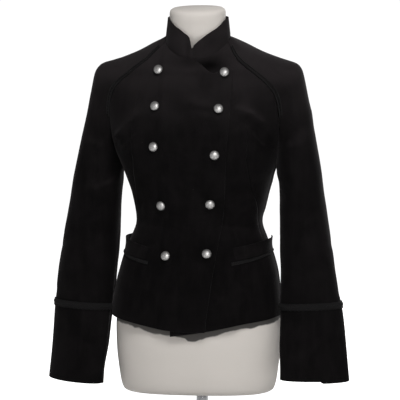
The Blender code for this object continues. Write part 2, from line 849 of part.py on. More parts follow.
def turned(name, profile, finish, group, steps, ring=False):
    """A profile of (radius, height), from its top down, turned about Z by a Screw modifier."""
    mesh = bpy.data.meshes.new(name)
    cells = bmesh.new()
    points = [cells.verts.new((radius * MM, 0, height * MM)) for radius, height in profile]
    for upper, lower in zip(points, points[1:]):
        cells.edges.new((upper, lower))
    if ring:
        cells.edges.new((points[-1], points[0]))
    cells.to_mesh(mesh)
    cells.free()
    made = add_object(name, mesh, finish, group)
    screw = made.modifiers.new("Turn", "SCREW")
    screw.axis = "Z"
    screw.steps = steps
    screw.render_steps = steps
    screw.use_merge_vertices = True
    screw.merge_threshold = 0.00001
    return made


# The dress form and its stand


def make_form(jersey, steel, group):
    mesh = bpy.data.meshes.new("form_torso")
    cells = bmesh.new()
    rings = []
    for height in TORSO_ROWS:
        ring = []
        for k in range(TORSO_COLUMNS):
            point = section_point(TORSO, 360 * k / TORSO_COLUMNS, height)
            tilt = NECK_TILT * smooth(NECK_TILT_FROM, NECK_TILT_FROM + NECK_TILT_OVER, height)
            point[2] += tilt * (point[1] - TORSO(height)[3])
            ring.append(cells.verts.new(point * MM))
        rings.append(ring)
    for lower, upper in zip(rings, rings[1:]):
        for k in range(TORSO_COLUMNS):
            following = (k + 1) % TORSO_COLUMNS
            cells.faces.new((lower[k], lower[following], upper[following], upper[k]))
    cells.faces.new(rings[0][::-1])
    cells.faces.new(rings[-1])
    cells.to_mesh(mesh)
    cells.free()
    mesh.shade_smooth()
    add_object("form_torso", mesh, jersey, group)

    top = FORM_BOTTOM - POLE_TOP_GAP
    foot = BASE_THICKNESS + POLE_TOP_GAP
    turned("form_pole", [(0, top), (POLE_RADIUS, top), (POLE_RADIUS, foot), (0, foot)],
           steel, group, STAND_STEPS)
    inner = POLE_RADIUS + POLE_TOP_GAP
    socket = [(inner, 40), (18, 40), (20, 37), (24, 18), (34, foot), (inner, foot)]
    turned("form_socket", socket, steel, group, STAND_STEPS, ring=True)
    plate = [(0, BASE_THICKNESS), (BASE_RADIUS - 5, BASE_THICKNESS), (BASE_RADIUS - 1.2, 9.5),
             (BASE_RADIUS, 6), (BASE_RADIUS - 1, 0), (0, 0)]
    turned("form_base", plate, steel, group, STAND_STEPS)


def main():
    for old in list(bpy.data.objects):
        bpy.data.objects.remove(old, do_unlink=True)
    group = bpy.data.collections.new("blazer_on_dress_form")
    bpy.context.scene.collection.children.link(group)
    velvet = material("black_velvet", (0.012, 0.011, 0.012), 0.9)
    braid = material("black_braid", (0.02, 0.019, 0.02), 0.8)
    pewter = material("pewter", (0.33, 0.32, 0.3), 0.35, 1.0)
    jersey = material("jersey", (0.62, 0.59, 0.56), 0.85)
    steel = material("chrome", (0.75, 0.75, 0.76), 0.12, 1.0)
    front = make_fronts(velvet, group)
    make_backs(velvet, group)
    make_sleeves(velvet, group)
    make_collar(velvet, group)
    make_pockets(velvet, braid, group)
    make_braids(braid, group)
    make_buttons(pewter, group, front)
    make_form(jersey, steel, group)


main()
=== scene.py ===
"""The looks of a double-breasted velvet blazer on a limbless dress form, laid out as an add-on."""

import math

import bpy
import numpy as np
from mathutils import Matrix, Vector
from mathutils.bvhtree import BVHTree


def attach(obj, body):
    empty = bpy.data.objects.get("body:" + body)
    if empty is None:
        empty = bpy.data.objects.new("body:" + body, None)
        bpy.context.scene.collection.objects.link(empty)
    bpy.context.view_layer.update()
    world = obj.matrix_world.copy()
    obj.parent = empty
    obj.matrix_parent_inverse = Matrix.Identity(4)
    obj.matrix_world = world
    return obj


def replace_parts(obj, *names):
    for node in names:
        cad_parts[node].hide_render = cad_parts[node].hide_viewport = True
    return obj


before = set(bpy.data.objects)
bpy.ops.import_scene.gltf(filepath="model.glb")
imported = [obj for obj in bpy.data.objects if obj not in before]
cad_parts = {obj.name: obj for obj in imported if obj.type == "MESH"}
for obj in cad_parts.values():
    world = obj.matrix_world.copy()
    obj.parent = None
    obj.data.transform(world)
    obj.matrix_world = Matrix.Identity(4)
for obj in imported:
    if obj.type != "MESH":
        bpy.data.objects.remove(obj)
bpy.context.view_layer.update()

bl_info = {
    "name": "Velvet blazer on a dress form",
    "version": (1, 0, 0),
    "blender": (4, 5, 0),
    "location": "3D View > Sidebar > Blazer",
    "description": "Builds the cloth, braid, buttons, dress form and studio of a velvet blazer",
    "category": "Object",
}

MM = 0.001
BODY_NAME = "root"
SIDES = ((-1, "right"), (1, "left"))


class Curve:
    """Columns of numbers against the first column, read along a smooth curve that never overshoots."""

    def __init__(self, *rows):
        table = np.array(rows, float)
        self.at = table[:, 0]
        self.columns = table[:, 1:]
        gaps = np.diff(self.at)[:, None]
        rates = np.diff(self.columns, axis=0) / gaps
        self.slopes = np.zeros_like(self.columns)
        self.slopes[0] = rates[0]
        self.slopes[-1] = rates[-1]
        before, after = rates[:-1], rates[1:]
        turning = before * after <= 0
        near = 2 * gaps[1:] + gaps[:-1]
        far = gaps[1:] + 2 * gaps[:-1]
        mean = (near + far) / (near / np.where(turning, 1, before) + far / np.where(turning, 1, after))
        self.slopes[1:-1] = np.where(turning, 0, mean)

    def __call__(self, at):
        at = np.clip(np.asarray(at, float), self.at[0], self.at[-1])
        i = np.minimum(np.searchsorted(self.at, at, "right"), len(self.at) - 1) - 1
        gap = self.at[i + 1] - self.at[i]
        s = ((at - self.at[i]) / gap)[..., None]
        gap = gap[..., None]
        value = (
            self.columns[i] * (1 + 2 * s) * (1 - s) ** 2
            + self.columns[i + 1] * s * s * (3 - 2 * s)
            + self.slopes[i] * gap * s * (1 - s) ** 2
            + self.slopes[i + 1] * gap * s * s * (s - 1)
        )
        return value if value.shape[-1] > 1 else value[..., 0]


# The cut of the blazer, in millimetres and degrees. Panels are worked out on the wearer's left, where x is
# positive, and mirrored for the right

# Walls, and the clear space between cloth beside cloth, cloth on cloth, and a button over cloth
WALL = 1.6
COLLAR_WALL = 2.2
SEAM_GAP = 0.3
LAYER_GAP = 0.4
BUTTON_GAP = 0.3
# The same space at a side seam, in degrees of spread
SEAM_SPREAD = 0.09

NECK_HALF_WIDTH = 64.0
NECK_HALF_DEPTH = 58.0
NECK_MIDDLE = -40.0
NECK_FRONT_CORNER = 77.0
NECK_BACK_CORNER = 125.0
UNDERARM_HEIGHT = 566.0
# Over this height the body narrows, and cloth is no longer spread by its width
SHOULDER_HEIGHT = 723.0
CUFF_TOP = 297.0
CUFF_HEM = 146.0
CUFF_HEM_DIP = 3.6

# The blazer's body, in level sections: depths run from the middle line to the front and the back
BODY = Curve(
    # height, half_width, front, back, middle, squareness
    (220, 168.5, 112, 104, -34, 2.3),
    (276, 166, 110.5, 101.5, -34, 2.3),
    (320, 162, 107, 97, -33, 2.3),
    (350, 158.5, 103.5, 93, -32, 2.3),
    (391, 148, 98, 83, -29, 2.3),
    (420, 136.5, 92.5, 75.5, -27, 2.25),
    (456, 124.5, 90, 73, -24, 2.2),
    (505, 132.5, 99, 76, -23, 2.2),
    (534, 141, 112, 84, -22, 2.3),
    (566, 152.6, 123, 90, -22, 2.4),
    (593, 164, 128, 94, -22, 2.4),
    (622, 173, 125, 97, -22, 2.4),
    (655, 180, 118, 98, -22, 2.4),
    (684, 186, 110, 96.5, -22, 2.4),
    (706, 192, 104, 94, -22, 2.4),
    (723, 197, 98, 90, -22, 2.4),
    (738, 197.5, 92, 85, -22, 2.4),
    (754, 192, 86, 79, -23, 2.4),
    (769, 176, 76, 73, -25, 2.4),
    (786, 140, 57, 67, -28, 2.4),
    (806, 92, 26, 56, -32, 2.4),
    (818, 80, 12, 36, -34, 2.4),
)

NECK_SEAM = Curve(
    # turn, height
    (0, 773), (20, 775.5), (41, 785), (60, 796), (77, 806), (95, 817), (130, 818), (180, 812),
)

# Raglan seams: along from the neck to the underarm, where the front or back meets the sleeve
RAGLAN_FRONT = Curve(
    # along, x, height
    (0.00, 62.4, 806), (0.10, 76, 787), (0.19, 91, 769), (0.28, 110, 754), (0.38, 130, 738),
    (0.47, 147, 723), (0.55, 159, 706), (0.63, 165.5, 684), (0.73, 168, 655), (0.83, 166.5, 622),
    (0.92, 161, 593), (1.00, 152.6, 566),
)
RAGLAN_BACK = Curve(
    # along, x, height
    (0.00, 52.4, 818), (0.12, 72, 800), (0.24, 95, 782), (0.36, 118, 762), (0.48, 138, 738),
    (0.58, 151, 714), (0.68, 159, 688), (0.78, 163, 658), (0.88, 163, 625), (0.95, 159, 594),
    (1.00, 152.6, 566),
)

# How far each front reaches past the centre front, and the dip of its free upper edge
RIGHT_REACH = Curve((220, 33), (240, 35), (660, 81), (735, 84), (760, 84))
LEFT_REACH = Curve((220, 34), (240, 34), (700, 45), (760, 45))
RIGHT_UPPER_EDGE = Curve(
    # past the centre front, height
    (0, 772.4), (10, 767), (24, 758), (36, 748), (46, 742.5), (56, 747), (66, 756), (76, 757),
    (84, 752),
)
LEFT_UPPER_EDGE = Curve((0, 772.4), (20, 768), (45, 752))
UPPER_CORNER_HEIGHT = 755.0
# How far the right front stands off the left one, and its gape beside the collar's foot: x, height
OVERLAP_LIFT = 3.8
OVERLAP_RAMP = (-66.0, -48.0)
GAPE = 8.0
GAPE_PLACE = (44.0, 746.0)
GAPE_SPREAD = 24.0
GAPE_RAMP = (6.0, 24.0)
# How far the right side seam swings out at the hip, and the turns and heights over which it starts
HIP_FLARE = 6.0
HIP_FLARE_TURNS = (35.0, 90.0)
HIP_FLARE_HEIGHTS = (370.0, 290.0)

# Hem height against turn: 0 centre front, 90 side, 180 centre back; negative past the centre front
RIGHT_HEM = Curve((-16, 245.5), (0, 245.5), (25, 249.5), (45, 257.5), (65, 266.5), (80, 272.5), (88, 275))
LEFT_HEM = Curve(
    (-17, 236.5), (0, 241), (12, 244.5), (30, 251.5), (50, 261.5), (68, 268), (80, 273), (88, 275),
)
BACK_HEM = Curve((88, 275), (120, 271), (150, 268), (180, 267))

SLEEVE_CAP = Curve(
    # station, front_along, back_along, top x, y, z, arc
    (0, 0.00, 0.00, 63.5, -34, 817.3, 60),
    (1, 0.20, 0.16, 97, -27, 800, 62),
    (2, 0.34, 0.32, 125, -22, 786, 65),
    (3, 0.46, 0.46, 155, -18, 775, 70),
    (4, 0.55, 0.56, 190, -16, 766, 78),
    (5, 0.63, 0.66, 208, -18, 748, 90),
    (6, 0.72, 0.76, 214.5, -24, 715, 102),
    (7, 0.82, 0.86, 221.5, -31, 672, 118),
    (8, 0.92, 0.94, 231.5, -37, 622, 142),
    (9, 1.00, 1.00, 241, -42, 570, 180),
)
UNDERARM_STATION = 9.0
LAST_STATION = UNDERARM_STATION - 1e-4
UNDERARM_HALF_DEPTH = 52.0
# Rows of the cap meet the raglan seams aslant, so their gap along the row is this much wider
SEAM_SLANT = 1.6

SLEEVE_RINGS = Curve(
    # drop below the underarm, centre x, centre y, half_width, half_depth, turn of the wide axis
    (0, 196.8, -32, 44.6, 52, -12.5),
    (32, 202.5, -31, 46, 54, -6),
    (61, 205.4, -32, 47.5, 55, -2),
    (110, 210, -35, 50.5, 54, 3),
    (172, 216.3, -41.5, 54.5, 51, 8),
    (212, 220.6, -46, 56.5, 47, 12),
    (262, 224.7, -47.5, 60, 40, 18),
    (294, 228.3, -50, 62, 35, 22),
    (348, 231.8, -58, 66, 27, 26),
    (401, 236.8, -69, 69, 21.5, 30),
    (430, 238.5, -73, 70.5, 20, 30),
)

# The collar leans in by this much over its height at the front, with a roll beside its foot
COLLAR_LEAN = 4.0
COLLAR_FRONT_HEIGHT = 36.0
COLLAR_FOOT_ROLL = 0.5
COLLAR_FOOT_ROLL_HEIGHT = 6.0
# Its depth follows the neck's oval, so it leans less at the front and back than at the sides
COLLAR_DEPTH_LEAN = 0.6
COLLAR_TOP = Curve(
    # turn from the centre front, height of the upper edge
    (1.2, 790), (3, 803), (7, 811), (16, 818), (30, 829), (50, 841), (68, 849.5), (90, 853),
    (130, 855), (180, 852),
)

# How the worn collar's halves differ from that edge: turn right round from the centre front, rise
COLLAR_SAG = Curve(
    (0, 0), (1.5, -1), (4, -5.5), (7, -8.5), (11, -7.7), (16, -7.2), (30, -7.8), (50, -8.4), (62, -7),
    (76, -3), (90, -1), (120, 0), (320, 1), (335, 3.6), (350, 5), (356, 4.8), (359, 3.4), (361.2, 2),
    (363, -8), (364.5, -12),
)

POCKET_TURNS = (43.0, 99.0)
POCKET_FOOT = Curve((43, 381), (60, 388), (80, 397), (99, 402))
POCKET_HEAD = Curve((43, 407), (60, 412.5), (80, 419.5), (99, 424))
POCKET_GAPE = Curve((43, 0.6), (60, 2), (78, 7), (88, 9.5), (99, 8))
# The turns over which the welt's front end rises from under the cloth, and over which its gape opens; how deep
# that end lies, and how its gape grows from foot to head
WELT_RISE_TURNS = (43.0, 60.0)
WELT_GAPE_TURNS = (43.0, 52.0)
WELT_SINK = 0.3
WELT_CURL = 1.4

# Buttons from the top down
BUTTONS = (
    # wearer's right: x, height; wearer's left: x, height
    (-63.5, 751.5, 67.5, 746.0),
    (-65.5, 682.0, 60.0, 677.0),
    (-65.0, 604.0, 55.0, 590.0),
    (-56.0, 489.5, 40.0, 494.0),
    (-44.5, 391.0, 35.5, 396.0),
)

# Folds and creases, as soft ridges and troughs along straight lines on the cloth. The first rows of each
# table are in the solids too, and the later ones are finer
FRONT_FOLDS = (
    # from x, height, to x, height, half width, rise
    (108, 672, 134, 652, 13, 3.9), (118, 650, 146, 618, 12, -3.0), (-106, 660, -138, 622, 13, 3.6),
    (-112, 632, -140, 598, 12, -2.8), (84, 500, 108, 520, 13, -3.0), (-80, 482, -108, 496, 13, -3.3),
    (-14, 700, 34, 668, 18, 2.6), (128, 534, 119, 484, 14, 4.0), (70, 300, 84, 262, 15, 3.9),
    (-84, 318, -96, 276, 15, 3.6),
    (96, 676, 118, 668, 6, 1.5), (118, 668, 139, 650, 6, 1.6), (139, 650, 155, 622, 6, 1.4),
    (104, 660, 138, 640, 7, -1.7), (138, 640, 152, 606, 7, -1.5), (130, 634, 144, 612, 4, -1.8),
    (-122, 642, -154, 606, 6, -2.6), (-112, 650, -148, 622, 6, 2.4), (-104, 626, -140, 596, 5, 1.6),
    (8, 690, 66, 676, 9, 0.8), (10, 676, 60, 668, 7, -0.8), (-40, 560, 30, 548, 12, -1.2),
    (-30, 470, 36, 474, 8, -0.9), (-26, 458, 30, 460, 7, 0.7), (64, 486, 100, 478, 6, 1.6),
    (-60, 470, -98, 482, 6, 1.6), (60, 452, 104, 448, 6, -1.4), (-58, 448, -104, 452, 6, -1.4),
    (-100, 360, -108, 300, 11, -1.0), (96, 352, 104, 290, 11, -1.0), (20, 330, 26, 262, 11, 0.7),
    (-20, 320, -14, 262, 11, -0.6),
)
BACK_FOLDS = (
    # from x, height, to x, height, half width, rise
    (20, 476, 88, 462, 13, -3.6), (-14, 500, -82, 486, 13, -3.3), (30, 452, 92, 436, 12, 3.3),
    (-26, 462, -92, 440, 12, 3.6), (128, 534, 119, 484, 14, 4.0), (66, 640, 118, 604, 14, 4.2),
    (-60, 652, -120, 610, 14, 4.2), (46, 340, 58, 288, 16, 4.5), (-52, 350, -60, 290, 16, 3.9),
    (6, 336, 10, 292, 15, -1.4),
    (8, 486, 80, 470, 6, 1.8), (14, 464, 96, 452, 7, -0.9), (-6, 492, -90, 470, 6, 1.8),
    (-10, 474, -86, 452, 6, -1.8), (28, 440, 84, 424, 8, -0.5), (-24, 446, -80, 426, 6, 1.4),
    (84, 656, 128, 616, 7, -2.2), (-80, 664, -128, 622, 7, -2.2), (30, 720, 70, 690, 10, 1.4),
    (-34, 716, -66, 700, 10, 1.4), (80, 350, 88, 286, 10, -1.8), (-84, 344, -92, 288, 10, -1.8),
)
SLEEVE_FOLDS = {
    # from around, height, to around, height, half width, rise; around 0 is the outer edge
    1: (
        (-0.80, 536, -0.42, 500, 17, 3.4), (-0.86, 500, -0.50, 462, 15, -2.4),
        (-0.46, 474, -0.24, 446, 15, 1.6), (0.86, 520, 0.45, 486, 17, 3.6), (0.34, 452, 0.78, 420, 16, 2.8),
        (-0.72, 420, -0.38, 392, 16, 2.4), (0.62, 382, 0.30, 352, 15, -2.0),
        (-0.28, 360, -0.56, 334, 15, 1.6),
        (-0.92, 548, -0.64, 520, 6, 2.0), (-0.88, 520, -0.56, 486, 6, -2.0),
        (-0.70, 470, -0.36, 452, 7, 1.8), (-0.40, 430, 0.02, 412, 8, -1.6), (0.20, 470, 0.60, 444, 7, 1.8),
        (0.50, 404, 0.86, 392, 7, -1.6), (-0.60, 366, -0.26, 346, 7, 1.6),
        (-0.30, 330, -0.02, 318, 8, -1.2), (0.22, 600, 0.26, 470, 11, 1.0),
        (-0.22, 560, -0.16, 420, 11, 1.0),
    ),
    -1: (
        (-0.84, 528, -0.42, 506, 17, 3.1), (-0.78, 488, -0.46, 452, 16, -2.4),
        (-0.44, 486, -0.24, 452, 15, 1.5), (0.82, 532, 0.42, 478, 17, 3.6), (0.32, 440, 0.70, 428, 16, 2.6),
        (-0.66, 410, -0.34, 376, 16, 2.5), (0.58, 370, 0.28, 360, 15, -1.9),
        (-0.32, 344, -0.66, 330, 15, 1.6),
        (-0.90, 540, -0.58, 514, 6, 2.0), (-0.84, 506, -0.60, 478, 6, -2.0),
        (-0.66, 458, -0.30, 440, 7, 1.8), (-0.36, 424, -0.04, 398, 8, -1.6), (0.24, 482, 0.56, 452, 7, 1.8),
        (0.46, 398, 0.80, 380, 7, -1.6), (-0.54, 360, -0.22, 352, 7, 1.6), (-0.34, 324, 0.0, 312, 8, -1.2),
        (0.20, 590, 0.24, 480, 11, 1.0), (-0.26, 550, -0.2, 430, 11, 1.0),
    ),
}
# How much is left of the sleeves' folds where the arm hangs straight
FALLEN = 0.6
SLEEVE_HALF_GIRTH = 160.0
# Waves in the body's cloth are measured across it by its turn, at this many millimetres a degree
TURN_LENGTH = 1.7
# The middle lines of the body, a sleeve and a cuff: x, y
BODY_AXIS = (0.0, -28.0)
SLEEVE_AXIS = (212.0, -42.0)
CUFF_AXIS = (235.0, -68.0)

# How much fuller the worn right sleeve hangs, and how much narrower the left: height, step out. It starts at
# the underarm and is whole from this height down
SLEEVE_TRIM_HEIGHT = 530.0
SLEEVE_TRIM = {
    -1: Curve((140, 1.6), (250, 2.4), (297, 3.0), (360, 3.2), (480, 2.4), (540, 0.6), (566, 0)),
    1: Curve((140, 1.4), (220, 0.9), (297, 0), (335, -1.8), (380, -3.0), (500, -3.0), (546, -2.4), (566, 0)),
}
# How far the top of the shoulder has sunk, and the heights over which that starts: across, drop
SHOULDER_DROP_HEIGHTS = (690.0, 720.0)
SHOULDER_DROP = {
    -1: Curve((70, 0), (140, 0), (165, 1.2), (181, 2.4), (200, 0)),
    1: Curve((70, 1.5), (92, 3.3), (120, 2.2), (150, 0.8), (181, 2.2), (200, 0)),
}
# How much narrower or wider the left shoulder's outer edge is than the solid's, and where across that starts:
# height, step out
SHOULDER_TRIM_ACROSS = (150.0, 205.0)
LEFT_SHOULDER_TRIM = Curve(
    (640, 0), (668, 1.5), (680, 0.2), (700, -1.8), (722, -3.2), (745, -5), (764, -3.6), (776, 0)
)

# The form, in the same columns as the body, and its rows: from height, to height, number of rows
TORSO = Curve(
    # height, half_width, front, back, middle, squareness
    (120, 129.5, 79, 76, -34, 2.3),
    (122.5, 139.5, 89, 85, -34, 2.3),
    (128, 147.5, 95, 91, -34, 2.3),
    (140, 152, 98, 94, -34, 2.3),
    (170, 157, 100.5, 97, -34, 2.3),
    (205, 161, 101, 98, -34, 2.3),
    (250, 162.5, 101, 97, -34, 2.3),
    (276, 161, 100.5, 96, -34, 2.3),
    (320, 157, 99, 91, -33, 2.3),
    (350, 153.5, 98.5, 88, -32, 2.3),
    (391, 142.5, 92.5, 77.5, -29, 2.3),
    (420, 128, 87, 70, -27, 2.25),
    (456, 115, 84, 67, -24, 2.2),
    (505, 122.5, 92.5, 70, -23, 2.2),
    (534, 131.5, 104, 77, -22, 2.3),
    (566, 142, 114, 83, -22, 2.4),
    (593, 149, 119, 87, -22, 2.4),
    (622, 154, 116, 89, -22, 2.4),
    (655, 158, 108, 89, -22, 2.4),
    (684, 163, 101, 88, -22, 2.4),
    (706, 167, 94, 85, -22, 2.4),
    (723, 169, 88, 81, -22, 2.4),
    (738, 168, 80, 76, -22, 2.3),
    (754, 163, 71, 70, -23, 2.2),
    (766, 154, 62, 64, -25, 1.9),
    (777, 137, 53, 58, -28, 1.75),
    (787, 112, 47, 53, -32, 1.6),
    (796, 88, 45, 49, -36, 1.45),
    (805, 64, 46, 46, -39, 1.55),
    (818, 54.5, 47, 46, -41, 2.0),
    (840, 54.5, 48, 46, -42, 2.0),
    (860, 55, 49, 47, -43, 2.0),
    (867, 53.6, 47.7, 45.7, -43, 2.0),
    (870.5, 49, 43.5, 41, -43, 2.0),
)
TORSO_ROWS = ((120, 128, 7), (134, 812, 84), (818, 858, 12), (860, 870.5, 8))
TORSO_COLUMNS = 120
# Where the neck shows, above this height, the cover has no painted shade
SHOWN_ABOVE = 762.0
# The shade under the hem hangs lowest near the front edges: drop, x, half width
HEM_SHADE = 5.0
HEM_SHADE_PLACE = 12.0
HEM_SHADE_SPREAD = 22.0
# The neck's cap slopes down to the front
NECK_TILT = 0.13
NECK_TILT_HEIGHTS = (812.0, 862.0)

# How a border turns in: its radius, and the places of the finer rows beside it
TURN_IN = 1.0
TURN_STEPS = (0.12, 0.3, 0.58)
# Stands for no seam near
FAR = 1000.0

# How finely the cloth is cut into faces: columns of a panel in each interval of its upper boundary, and how
# many intervals its free edge, neck and raglan seam have
PANEL_FINENESS = 4.5
PANEL_ROWS = 165
PANEL_ROUNDS = 5
FRONT_INTERVALS = {-1: (6, 5, 12), 1: (3, 5, 12)}
BACK_INTERVALS = (4, 12)
# Rows run from 0 at the hem to 1 at that boundary: where they start to follow its points, and its step to
# the neck
FOLLOW_FROM = -0.15
NECK_STEP_FROM = 0.86
# From this station the sleeve closes under the arm
LAST_OPEN_STATION = 8.0
SLEEVE_COLUMNS = 100
SLEEVE_CAP_ROWS = 84
SLEEVE_ARM_ROWS = 84
CUFF_ROWS = 44
# Rows above and below the underarm that its bend takes up, and the shares of the arm over which the cap's
# slope fades out and the waves fade in
BEND_ROWS = (12, 7)
ARM_BLEND = 0.35
ARM_FOLDS_FROM = 0.2
COLLAR_COLUMNS = 150
COLLAR_ROWS = 18
# The collar's left end, past a whole turn, laps over its right one, and its foot goes down inside the seam
COLLAR_ENDS = (0.6, 364.5)
COLLAR_OVERLAP = 2.8
COLLAR_OVERLAP_TURNS = (350.0, 358.0)
COLLAR_TUCK = 1.6
WELT_COLUMNS = 60
WELT_ROWS = 12
# Points of the raglan braid along its seam and round the sleeve, and how many of those give its slope
RAGLAN_BRAID_POINTS = 331
RAGLAN_ROUND_POINTS = 401
RAGLAN_SLOPE_POINTS = 40
EYELET_POINTS = 14
EYELET_SIDES = 5
CUFF_BRAID_POINTS = 720
POCKET_PLAIT_POINTS = 261
BUTTON_STEPS = 48
STAND_STEPS = 96
# Places round a button's shank where its height over the cloth is measured
SHANK_PLACES = 13
CORNER_STEPS = 4
CORNER_PART = 2.2

# Soft waves over all the cloth: length, direction, rise; and how each piece turns and shifts them
WAVES = ((173, 25, 0.32), (97, 112, 0.26), (61, 64, 0.16), (37, 155, 0.09))
WAVE_TURN = 23.0
WAVE_SHIFT = 1.9
# Waves at the cuff's hem, which fade towards its seam: around, width, rise; around 0 is the outer edge
CUFF_WAVE_FADE = 1.5
CUFF_WAVES = {
    -1: ((-0.46, 0.10, 0.8), (0.30, 0.14, 1.2), (-0.12, 0.08, -0.7), (0.72, 0.12, -0.4)),
    1: ((-0.40, 0.12, 0.9), (0.36, 0.11, -1.0), (-0.68, 0.10, -0.5), (0.64, 0.13, 1.0)),
}
# How far the cuff's seam and its hem hang lower towards the body
CUFF_TILT = {-1: 9.0, 1: 1.5}
HEM_TILT = {-1: 5.5, 1: -2.0}
# The left cuff laps over itself at the front, where its hem steps down
CUFF_VENT = -0.47
CUFF_VENT_WIDTH = 0.012
CUFF_VENT_STEP = 3.6
CUFF_VENT_FADES = (0.6, 0.1)
LEFT_CUFF_RISE = 6.0
# Soft bends of the collar: turn, share of its height, width, rise; and how high each is, as such a share
COLLAR_WAVE_HEIGHT = 0.22
COLLAR_WAVES = (
    (336, 0.7, 9, 1.1), (348, 0.35, 7, -0.8), (20, 0.6, 10, 0.9), (70, 0.8, 14, -0.8),
    (300, 0.75, 12, -0.7), (140, 0.7, 18, 0.8), (215, 0.6, 16, -0.7),
)

# Patches of painted light and shade on the velvet: across, height, half widths both ways, amount. Both fronts
# have bands of painted shade
BAND_PAINTED_SHADE = ((0, 350, 400, 90, -0.1), (0, 402, 400, 22, -0.13), (0, 655, 300, 80, -0.06))
FRONT_PAINTED_LIGHT = {
    -1: (
        (0, 770, 52, 13, -0.42), (-13, 714, 46, 24, -0.22), (-62, 700, 60, 40, 0.08), (-2, 752, 16, 5, 0.3),
        (-130, 640, 18, 11, 0.25), (-128, 588, 18, 16, -0.25), (8, 676, 40, 9, -0.12), *BAND_PAINTED_SHADE,
        (0, 232, 90, 14, 0.4),
    ),
    1: (
        (34, 760, 26, 9, -1.0), (40, 774, 46, 14, -0.4), (96, 740, 34, 30, 0.1),
        (126, 640, 18, 14, -0.06), (148, 610, 10, 20, -0.15), (112, 672, 18, 4, 0.15),
        (60, 706, 22, 12, -0.1), *BAND_PAINTED_SHADE, (0, 234, 90, 14, 0.4),
    ),
}
# A painted highlight over the whole collar
COLLAR_PAINTED_HIGHLIGHT = 0.5
# The sleeves have a painted highlight on the outside and painted shade beside the body
SLEEVE_PAINTED_HIGHLIGHT = 0.07
SLEEVE_PAINTED_SHADE = 1.3
# Patches of painted light and shade on the collar
COLLAR_PAINTED_LIGHT = (
    # turn, height, half widths, amount
    (322, 812, 26, 9, 0.3), (338, 800, 10, 10, 0.25), (300, 834, 16, 5, -0.3),
    (40, 806, 14, 10, -0.3), (64, 826, 14, 12, 0.2),
)

# Dart seams: height, turn of the seam; and the heights that they span
FRONT_DART = Curve((455, 79), (480, 73.5), (498, 69), (528, 58.7), (556, 52.3), (582, 48))
FRONT_DART_SPAN = (430, 582)
BACK_DART = Curve((262, 150), (360, 147), (456, 142), (560, 139), (640, 130), (700, 121))
BACK_DART_SPAN = (262, 700)

# The openwork braid beside the front raglan seam: the stations it spans, its cords as distance from the seam,
# rise and radius, and its eyelets
RAGLAN_BRAID_SPAN = (0.3, 6.0)
RAGLAN_CORDS = ((2.1, 1.15, 0.75), (1.0, 1.0, 0.45), (8.3, 1.15, 0.75), (9.4, 1.0, 0.45))
EYELET_DISTANCE = 5.2
EYELET_RISE = 1.1
EYELET_PITCH = 6.2
EYELET_HALF_WIDTH = 2.6
EYELET_HALF_LENGTH = 2.5
EYELET_CORD = 0.48

# The thickness of the tape behind each plait. A bob is how far out a strand lies on the whole, and its sway
BRAID_TAPE = 0.5

# The cuff's braid, by its rise over a line beside the cuff's seam that wavers once round: how often the
# pattern repeats, its strands, and its edge cords as rise and radius, over a row of scallops
CUFF_BRAID_DROP = 1.0
CUFF_BRAID_WAVER = 1.2
CUFF_BRAID_HALF_WIDTH = 5.6
CUFF_BRAID_REPEATS = 22
CUFF_STRANDS = 4
CUFF_STRAND_RADIUS = 1.0
CUFF_STRAND_RISE = 0.6
CUFF_SWING = 3.4
CUFF_BOB = (1.1, 0.5)
CUFF_EDGE_CORDS = ((5.6, 0.85), (-4.4, 0.8))
CUFF_EDGE_OUT = 0.95
CUFF_SCALLOP = 1.7
CUFF_SCALLOP_FOOT = -5.4
CUFF_SCALLOP_OUT = 0.8
CUFF_SCALLOP_RADIUS = 0.7

# The plait under a pocket, by its drop from the welt's foot: its strands with their pitch and swing, its edge
# cords, and the turns over which it widens from a narrow end at the side
POCKET_STRANDS = 3
POCKET_STRAND_RADIUS = 0.75
POCKET_STRAND_DROP = 3.5
POCKET_PITCH = 7.5
POCKET_SWING = 2.3
POCKET_BOB = (1.15, 0.45)
POCKET_EDGE_CORDS = (0.9, 6.3)
POCKET_EDGE_OUT = 0.9
POCKET_EDGE_RADIUS = 0.5
POCKET_TAPE_DROPS = (0.4, 6.6)
POCKET_PLAIT_NARROWS = (96.0, 44.0)
POCKET_NARROW_SHARE = 0.4

# A button's dome over its foot, its shank, and the height from which painted shade darkens it down to the rim
BUTTON_FOOT = 2.4
BUTTON_RISE = 5.6
SHANK_RADIUS = 2.6
RIM_SHADE_HEIGHT = 5.2
RIM_SHADE_DEPTH = 2.6
# From how far out a button comes in to the cloth
BUTTON_START = 50.0

# The stand's profiles: radius, height
POLE = ((0, 12.3), (11.5, 12.3), (11.5, 119.7), (0, 119.7))
SOCKET = ((11.8, 12.3), (34, 12.3), (24, 18), (20, 37), (18, 40), (11.8, 40), (11.8, 12.3))
PLATE_HEIGHT = 12.0

# The studio, in metres: each soft light's size and place, and the point they all face
LIGHTS = {
    "key": (0.9, (0.8, -1.9, 3.0)),
    "front": (0.8, (0.9, -3.4, 0.75)),
    "shine": (0.8, (1.15, -3.3, 1.8)),
    "fill": (2.2, (-2.2, -1.9, 1.3)),
    "back": (2.4, (0.9, 3.0, 1.3)),
}
LIGHT_TARGET = (0, 0, 0.5)

# Half the floor's side, and how far it lies under the base, in millimetres again
FLOOR_HALF = 6000.0
FLOOR_DROP = 0.3

# The camera's target, the height that it takes in there and its distance
PICTURE_CENTRE = (-4.4, -1.0, 493.6)
PICTURE_HEIGHT = 785.0
CAMERA_DISTANCE = 8000.0


def section_point(sections, turn, height):
    """Points of a body surface; turn is 0 at the centre front, 90 at the wearer's left."""
    turn, height = np.broadcast_arrays(np.asarray(turn, float), np.asarray(height, float))
    half_width, front, back, middle, squareness = np.moveaxis(sections(height), -1, 0)
    side = np.sin(np.radians(turn))
    fore = np.cos(np.radians(turn))
    depth = np.where(fore > 0, front, back)
    total = np.abs(side / half_width) ** squareness + np.abs(fore / depth) ** squareness
    reach = total ** (-1 / squareness)
    return np.stack([reach * side, middle - reach * fore, height], -1)


